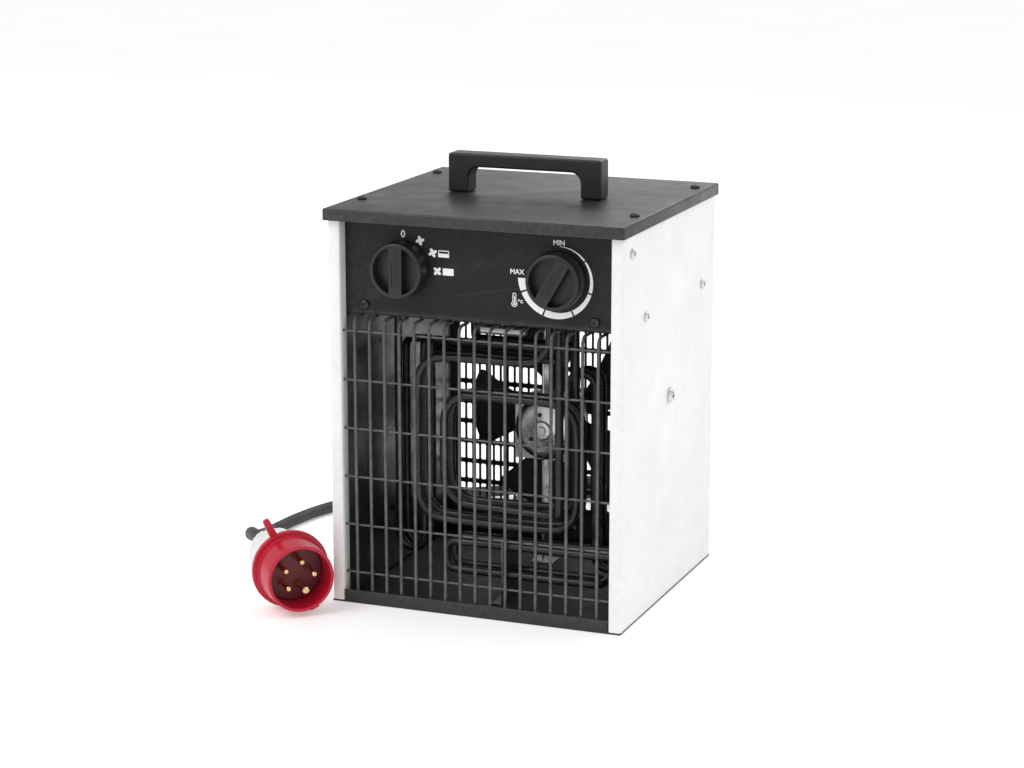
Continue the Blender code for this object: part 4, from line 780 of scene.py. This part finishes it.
# ---------------------------------------------------------------- fasteners
def screw_mesh(radius, thickness, washer):
    """A pan head on a short shank, with a cross recess cut into it."""
    profile = [(0, -4 * MM), (radius * 0.36, -4 * MM), (radius * 0.36, 0)]
    if washer:
        profile += [(radius, 0), (radius, thickness * 0.22), (radius * 0.78, thickness * 0.26)]
    body = radius * (0.76 if washer else 1.0)
    shares = ((1.0, 0.30), (0.985, 0.48), (0.92, 0.68), (0.78, 0.85), (0.55, 0.96), (0.28, 1.0))
    if not washer:
        profile.append((body, 0))
    profile += [(body * across, thickness * up) for across, up in shares] + [(0, thickness)]
    head = bpy.data.objects.new("head", bpy.data.meshes.new("head"))
    bm = turned(profile, 40)
    bm.to_mesh(head.data)
    bm.free()
    bpy.context.scene.collection.objects.link(head)
    arm, half = body * 0.58, body * 0.115
    depth = thickness * 0.45
    for turn in (0.0, math.pi / 2):
        bar = box((-arm, -half, depth), (arm, half, thickness * 1.5))
        bar.transform(Matrix.Rotation(turn + math.pi / 8, 4, "Z"))
        cut_away(head, bar)
    mesh = head.data
    mesh.shade_smooth()
    mesh.set_sharp_from_angle(angle=math.radians(28))
    bpy.data.objects.remove(head)
    return mesh


def make_screws():
    small = screw_mesh(4.4 * MM, 2.6 * MM, False)
    large = screw_mesh(7.75 * MM, 3.6 * MM, True)
    ways = {"lid": (0, 0, 1), "panel": (0, -1, 0), "rear": (0, 1, 0)}
    for node in sorted(NODES):
        kind = node.split("_")[0]
        if "_screw" not in node and "_bolt" not in node or kind == "handle":
            continue
        outward = Vector(ways.get(kind, (1 if node.endswith("right") else -1, 0, 0)))
        thickness = 3.6 * MM if "bolt" in node else 2.6 * MM
        half = extent(node) / 2
        reach = sum(abs(a * b) for a, b in zip(half, outward))
        seat = middle(node) + outward * (reach - thickness)
        roll = 0.7 * sum(map(ord, node))
        mesh = (large if "bolt" in node else small).copy()
        obj = bpy.data.objects.new(f"{node}_head", mesh)
        obj.matrix_world = placed(seat, outward, roll)
        bpy.context.scene.collection.objects.link(obj)
        dress(obj, SLOTS[node])
        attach(obj, BODIES[node])
        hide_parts(node)


# ---------------------------------------------------------------- controls
def make_knob(label, centre, pointer, body):
    """A disc with two deep finger pockets, and a ribbed grip ridge between them with a pointer."""
    radius = KNOB_RADIUS
    height = KNOB_HEIGHT
    rim = radius - 4.2 * MM
    half = 6.2 * MM
    profile = [(0, 0), (radius - 0.4 * MM, 0), (radius, 0.5 * MM), (radius, 3 * MM)]
    profile += [(radius - 0.7 * MM, height - 2.2 * MM), (radius - 1.2 * MM, height - 0.9 * MM)]
    profile += [(radius - 2.2 * MM, height - 0.15 * MM), (radius - 3.0 * MM, height), (0, height)]
    turn = placed((centre.x, KNOB_BACK, centre.z), (0, -1, 0), -pointer)
    knob = piece(f"{label}_knob_body", turned(profile, 96), "black_plastic", body, (f"{label}_knob",), 30)
    edge = math.degrees(math.acos(half / rim))
    pockets = []
    for side in (0, 180):
        bow = arc((0, 0), rim, side - edge, side + edge, 28)
        corner = softened([bow[-2], bow[-1], bow[0], bow[1]], 2.2 * MM, 4)
        outline = bow[2:-2] + corner[6:18]
        pockets.append(prism(outline, height - 9.5 * MM, height + 3 * MM))
    cut_away(knob, together(pockets))
    strip = rectangle(-3.6 * MM, -14 * MM, 3.6 * MM, 9 * MM)
    cut_away(knob, prism(softened(strip, 1 * MM), height - 0.45 * MM, height + 1 * MM))
    knob.data.transform(turn)
    knob.data.shade_smooth()
    knob.data.set_sharp_from_angle(angle=math.radians(30))
    bevel_edges(knob, 0.35 * MM, 2, 40)
    for polygon in knob.data.polygons:
        polygon.use_smooth = True
    ribs = []
    for index in range(13):
        y = (-12.6 + index * 1.65) * MM
        rib = softened(rectangle(-2.9 * MM, y, 2.9 * MM, y + 0.8 * MM), 0.3 * MM, 2)
        ribs.append(prism(rib, height - 0.6 * MM, height - 0.1 * MM, turn))
    mark = softened(rectangle(-0.9 * MM, 11 * MM, 0.9 * MM, 19 * MM), 0.6 * MM, 3)
    ribs.append(prism(mark, height - 0.5 * MM, height + 0.5 * MM, turn))
    piece(f"{label}_knob_ribs", together(ribs), "black_plastic", body, bevel=0.12 * MM)


def text_shape(words, height, centre, turn):
    """Generic lettering as a thin solid, centred on a point of the panel."""
    curve = bpy.data.curves.new("words", "FONT")
    curve.body = words
    curve.size = height * 1.4
    curve.align_x = "CENTER"
    curve.align_y = "CENTER"
    curve.extrude = INK / 2
    curve.offset = 0.16 * MM
    obj = bpy.data.objects.new("words", curve)
    bpy.context.scene.collection.objects.link(obj)
    bpy.context.view_layer.update()
    mesh = bpy.data.meshes.new_from_object(obj.evaluated_get(bpy.context.evaluated_depsgraph_get()))
    bm = bmesh.new()
    bm.from_mesh(mesh)
    bmesh.ops.remove_doubles(bm, verts=bm.verts, dist=0.001 * MM)
    bm.transform(turn @ Matrix.Translation((*centre, INK / 2)))
    bpy.data.objects.remove(obj)
    bpy.data.meshes.remove(mesh)
    return bm


INK = 0.12 * MM


def on_panel(centre):
    """Carries a drawing in XY to the control panel, its origin at this point."""
    return Matrix(((1, 0, 0, centre.x), (0, 0, -1, PANEL_Y), (0, 1, 0, centre.z), (0, 0, 0, 1)))


def marked(outline, turn):
    return prism(outline, -INK, INK, turn)


def fan_mark(centre, roll, turn):
    """A four-bladed fan."""
    outline = []
    for step in range(64):
        angle = 2 * math.pi * step / 64
        radius = (3.0 + 1.25 * math.cos(4 * angle) + 0.25 * math.sin(8 * angle)) * MM
        swept = angle + roll + 0.10 * math.sin(4 * angle)
        outline.append((centre[0] + radius * math.cos(swept), centre[1] + radius * math.sin(swept)))
    return marked(outline, turn)


def rectangle(left, bottom, right, top):
    return [(left, bottom), (right, bottom), (right, top), (left, top)]


def power_mark(centre, full, turn):
    """A bar, full or with its upper half open."""
    x, y = centre
    wide, high, line = 5.2 * MM, 3.1 * MM, 0.8 * MM
    if full:
        return [marked(rectangle(x - wide, y - high, x + wide, y + high), turn)]
    bars = [rectangle(x - wide, y - high, x + wide, y + 0.3 * MM)]
    bars.append(rectangle(x - wide, y + high - line, x + wide, y + high))
    bars.append(rectangle(x - wide, y + 0.2 * MM, x - wide + line, y + high - line / 2))
    bars.append(rectangle(x + wide - line, y + 0.2 * MM, x + wide, y + high - line / 2))
    return [marked(bar, turn) for bar in bars]


def band(inner, outer_start, outer_end, start, end, turn):
    """A stretch of the dial's ring, clockwise from the top in degrees, that widens along its way."""
    steps = 14
    inside = arc((0, 0), inner, 90 - start, 90 - end, steps)
    outside = []
    for step in range(steps + 1):
        share = step / steps
        radius = outer_start + (outer_end - outer_start) * share
        outside.append(arc((0, 0), radius, 90 - start - (end - start) * share, 0, 1)[0])
    return marked(inside + outside[::-1], turn)


def thermometer_mark(turn):
    x, y = -41.2 * MM, -20.6 * MM
    ring = [(2.0 * MM, -INK), (2.8 * MM, -INK), (2.8 * MM, INK), (2.0 * MM, INK)]
    at_bulb = turn @ Matrix.Translation((x, y - 3.6 * MM, 0))
    bulb = turned(ring, 28, at_bulb, closed=True)
    dot = turned([(0, -INK), (1.2 * MM, -INK), (1.2 * MM, INK), (0, INK)], 20, at_bulb)
    column = marked(rectangle(x - 0.35 * MM, y - 3 * MM, x + 0.35 * MM, y + 3.4 * MM), turn)
    sides = [rectangle(x - 1.7 * MM, y - 1.6 * MM, x - 1.0 * MM, y + 4.6 * MM)]
    sides.append(rectangle(x + 1.0 * MM, y - 1.6 * MM, x + 1.7 * MM, y + 4.6 * MM))
    top = arc((x, y + 4.6 * MM), 1.7 * MM, 0, 180, 10) + arc((x, y + 4.6 * MM), 1.0 * MM, 180, 0, 10)
    degree = turned([(0.45 * MM, -INK), (0.9 * MM, -INK), (0.9 * MM, INK), (0.45 * MM, INK)], 16,
                    turn @ Matrix.Translation((x + 4.2 * MM, y - 0.2 * MM, 0)), closed=True)
    letter = text_shape("C", 2.6 * MM, (x + 6.8 * MM, y - 1.4 * MM), turn)
    return [bulb, dot, column, marked(top, turn), *[marked(side, turn) for side in sides], degree, letter]


def make_panel_print():
    mode = on_panel(MODE)
    marks = [text_shape("0", 6.3 * MM, (0.6 * MM, 31 * MM), mode)]
    marks.append(fan_mark((17.0 * MM, 26.2 * MM), math.radians(12), mode))
    marks.append(fan_mark((29.2 * MM, 16.0 * MM), math.radians(25), mode))
    marks.append(fan_mark((33.6 * MM, -0.3 * MM), math.radians(45), mode))
    marks += power_mark((39.7 * MM, 15.6 * MM), False, mode)
    marks += power_mark((44.0 * MM, -0.4 * MM), True, mode)
    dial = on_panel(THERMOSTAT)
    marks.append(text_shape("MIN", 4.4 * MM, (0.5 * MM, 32.6 * MM), dial))
    marks.append(text_shape("MAX", 4.4 * MM, (-38.7 * MM, 4.4 * MM), dial))
    gaps = (2, 54, 109.5, 155, 204, 249.5, 269)
    inner = 29.4 * MM
    for start, end in zip(gaps, gaps[1:]):
        first = start + (1.4 if start > 2 else 0)
        last = end - (1.4 if end < 269 else 0)
        widths = [inner + (0.25 + 8.2 * (angle / 269) ** 1.1) * MM for angle in (first, last)]
        marks.append(band(inner, *widths, first, last, dial))
    marks += thermometer_mark(dial)
    bare = piece("control_panel_print", together(marks), WHITE_INK, "case", angle=60)


# ---------------------------------------------------------------- guard
UPRIGHTS = 17
UPRIGHT_PITCH = 14.55 * MM
CROSSES = 6
CROSS_LOWEST = 28.1 * MM
CROSS_PITCH = 45.3 * MM
UPRIGHT_WIRE = 3.0 * MM
CROSS_WIRE = 2.2 * MM


def make_guard():
    """Upright wires hooked back at the top, welded on cross wires whose ends sit in the side panels."""
    low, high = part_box("front_guard")
    front = low.y - 0.2 * MM + UPRIGHT_WIRE / 2
    top = high.z - UPRIGHT_WIRE / 2
    columns = [(index - (UPRIGHTS - 1) / 2) * UPRIGHT_PITCH for index in range(UPRIGHTS)]
    rows = [CROSS_LOWEST + index * CROSS_PITCH for index in range(CROSSES)]
    uprights = []
    for x in columns:
        corners = [(x, front, low.z), (x, front, top), (x, high.y, top)]
        uprights.append(rounded(corners, 7 * MM))
    wires = wire_curve("guard_uprights", uprights, UPRIGHT_WIRE, "guard_wire", 3)
    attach(wires, "case")
    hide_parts("front_guard")
    behind = front + (UPRIGHT_WIRE + CROSS_WIRE) / 2 - 0.35 * MM
    crosses = [[(low.x, behind, z), (0, behind, z), (high.x, behind, z)] for z in rows]
    bars = wire_curve("guard_crosswires", crosses, CROSS_WIRE, "guard_wire", 3)
    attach(bars, "case")
    welds = []
    for x in columns:
        for z in rows:
            bead = bmesh.new()
            place = Matrix.Translation((x, (front + behind) / 2 + 0.3 * MM, z))
            flat = place @ Matrix.Diagonal((1.25, 0.8, 1.1, 1))
            bmesh.ops.create_icosphere(bead, subdivisions=2, radius=1.75 * MM, matrix=flat)
            welds.append(bead)
    piece("guard_welds", together(welds), "guard_wire", "case")


# ---------------------------------------------------------------- rear grille
SLOT_COLUMNS = 33
SLOT_ROWS = 11
SLOT_PITCH = 7.45 * MM
SLOT_ROW_PITCH = 20.5 * MM
SLOT_LOWEST = 41.0 * MM
SLOT_WIDTH = 5.3 * MM
SLOT_HEIGHT = 16.0 * MM
SLOT_CORNER = 1.6 * MM


def slot_rings():
    """The rounded slot and the cell round it, point for point, about the cell's middle."""
    side, top = SLOT_WIDTH / 2, SLOT_HEIGHT / 2
    inner = softened(rectangle(-side, -top, side, top), SLOT_CORNER, 4)
    outer = []
    half_width, half_height = SLOT_PITCH / 2, SLOT_ROW_PITCH / 2
    for index, (x, z) in enumerate(inner):
        corner = index % 5
        right = math.copysign(half_width, x)
        up = math.copysign(half_height, z)
        spots = ((x, up), (right, up), (right, z))
        place = 1 if corner == 2 else (0 if abs(z) > SLOT_HEIGHT / 2 - SLOT_CORNER * 0.34 else 2)
        outer.append(spots[place])
    return inner, outer


def make_rear_panel():
    """A sheet with rows of narrow upright slots."""
    low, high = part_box("rear_panel")
    inner, outer = slot_rings()
    bm = bmesh.new()
    for row in range(SLOT_ROWS):
        for column in range(SLOT_COLUMNS):
            x = (column - (SLOT_COLUMNS - 1) / 2) * SLOT_PITCH
            z = SLOT_LOWEST + row * SLOT_ROW_PITCH
            hole = [bm.verts.new((x + a, high.y, z + b)) for a, b in inner]
            cell = [bm.verts.new((x + a, high.y, z + b)) for a, b in outer]
            for index in range(len(hole)):
                after = (index + 1) % len(hole)
                bm.faces.new([hole[index], hole[after], cell[after], cell[index]])
    bmesh.ops.remove_doubles(bm, verts=bm.verts, dist=0.01 * MM)
    fill_margin(bm, low, high)
    bmesh.ops.recalc_face_normals(bm, faces=bm.faces)
    bmesh.ops.solidify(bm, geom=bm.faces[:], thickness=high.y - low.y)
    made = piece("rear_panel_grille", bm, "black_paint", "case", ("rear_panel",), 40)
    settle(made, low.y)
    return made


def fill_margin(bm, low, high):
    """Plain sheet between the block of slots and the panel's edges."""
    half = SLOT_COLUMNS * SLOT_PITCH / 2
    bottom = SLOT_LOWEST - SLOT_ROW_PITCH / 2
    top = bottom + SLOT_ROWS * SLOT_ROW_PITCH
    corners = {}
    for a, x in ((0, low.x), (1, high.x)):
        for b, z in ((0, low.z), (1, high.z)):
            corners[a, b] = bm.verts.new((x, high.y, z))
    edge = [v for v in bm.verts if v.is_boundary or not v.link_faces]

    def along(test, key):
        return sorted((v for v in edge if v.link_faces and test(v.co)), key=key)

    near = 0.05 * MM
    left = along(lambda co: abs(co.x + half) < near, lambda v: v.co.z)
    right = along(lambda co: abs(co.x - half) < near, lambda v: v.co.z)
    under = along(lambda co: abs(co.z - bottom) < near, lambda v: v.co.x)
    above = along(lambda co: abs(co.z - top) < near, lambda v: v.co.x)
    bm.faces.new([corners[0, 0], *left, corners[0, 1]])
    bm.faces.new([corners[1, 0], *right, corners[1, 1]])
    bm.faces.new([corners[0, 0], *under, corners[1, 0]])
    bm.faces.new([corners[0, 1], *above, corners[1, 1]])


def settle(obj, front):
    """Moves the sheet along Y so that it fills the place of the CAD panel."""
    depths = [vertex.co.y for vertex in obj.data.vertices]
    shift = front - min(depths)
    for vertex in obj.data.vertices:
        vertex.co.y += shift


# ---------------------------------------------------------------- handle
def make_handle():
    """A square arch with rounded inner corners and softened edges."""
    low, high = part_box("handle")
    leg, bar = 20 * MM, 12.5 * MM
    inner_radius, outer_radius = 10 * MM, 3 * MM
    outside = [(low.x, low.z, 0), (low.x, high.z, 0), (high.x, high.z, 0), (high.x, low.z, 0)]
    under = high.z - bar
    left, right = low.x + leg, high.x - leg
    inside = [(right, low.z, 0), (right, under, 0), (left, under, 0), (left, low.z, 0)]
    outline = rounded(outside, outer_radius, 6) + rounded(inside, inner_radius, 14)
    centre = (low.y + high.y) / 2
    half = (high.y - low.y) / 2
    upright = Matrix(((1, 0, 0, 0), (0, 0, -1, centre), (0, 1, 0, 0), (0, 0, 0, 1)))
    arch = prism([(p.x, p.y) for p in outline], -half, half, upright)
    piece("carry_handle", arch, "black_plastic", "case", ("handle",), 40, 2.0 * MM, 4)


# ---------------------------------------------------------------- motor
LAMINATION_FRONT = 53.0 * MM


def make_motor():
    """A bright turned bell with a boss and three screws, in front of the laminated body."""
    low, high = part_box("motor_housing")
    centre = middle("motor_housing")
    radius = (high.x - low.x) / 2
    bell = [(4.4, 0), (8.2, 0), (8.6, 0.5), (8.9, 2.2), (10.5, 2.7), (20.5, 2.9), (24.5, 3.3)]
    bell += [(27.2, 4.4), (29.2, 6.4), (30, 8.8), (30, 16.5), (29, 17), (4.4, 17)]
    share = radius / (30 * MM)
    turn = placed((centre.x, low.y, centre.z), (0, 1, 0))
    shape = turned([(r * share * MM, z * MM) for r, z in bell], 96, turn, closed=True)
    piece("motor_bell", shape, "aluminium", "case", ("motor_housing",), 30)
    half = 29 * MM
    lamination = []
    start, end, plates = LAMINATION_FRONT, high.y, 16
    for plate in range(plates):
        near = start + (end - start) * plate / plates
        reach = half - (0.0 if plate % 2 else 0.4 * MM)
        outline = softened(rectangle(-reach, -reach, reach, reach), 10 * MM, 6)
        lamination.append(prism(outline, near - low.y, near + (end - start) / plates - low.y, turn))
    piece("motor_laminations", together(lamination), "bright_steel", "case")
    heads = []
    screw = [(0, 0), (1.9, 0), (1.9, 1.0), (1.2, 1.5), (0.6, 1.5), (0.6, 0.7), (0, 0.7)]
    profile = [(r * MM, z * MM) for r, z in screw]
    for index in range(3):
        angle = math.radians(80 + 120 * index)
        spot = turn @ Vector((15 * MM * math.cos(angle), 15 * MM * math.sin(angle), 2.7 * MM))
        heads.append(turned(profile, 24, placed(spot, (0, -1, 0))))
    piece("motor_bell_screws", together(heads), "dark_screw", "case")


# ---------------------------------------------------------------- the rest of the frame
# bevel widths in mm
BEVELLED = {
    "base_tray": 0.45, "left_side_panel": 0.40, "right_side_panel": 0.40, "top_cover": 0.35,
    "control_panel": 0.30, "compartment_floor": 0.25, "left_heat_shield": 0.20, "right_heat_shield": 0.20,
    "terminal_block": 0.50, "safety_cutout": 0.40, "mode_switch_body": 0.80, "thermostat_body": 0.80,
    "element_support": 0.25, "motor_bracket": 0.30, "motor_end_shield": 0.40,
}
ELEMENTS = [f"heating_element_{place}" for place in ("front", "rear", "left", "right", "lower")]
SMOOTHED = (*ELEMENTS, "fan_impeller")


def refine_frame():
    for node, bevel in BEVELLED.items():
        refined(node, bevel * MM)
    for node in SMOOTHED:
        refined(node, subdivide=1, angle=50)
    for node, obj in NODES.items():
        if not obj.hide_render:
            dress(obj, SLOTS[node])


def main():
    make_camera()
    make_studio()
    cord = make_cord()
    sleeve = make_strain_relief()
    make_gland()
    make_plug()
    make_rear_panel()
    make_guard()
    make_handle()
    make_motor()
    make_knob("mode", MODE, 0.0, BODIES["mode_knob"])
    make_knob("thermostat", THERMOSTAT, THERMOSTAT_REST, BODIES["thermostat_knob"])
    make_panel_print()
    make_screws()
    refine_frame()


main()
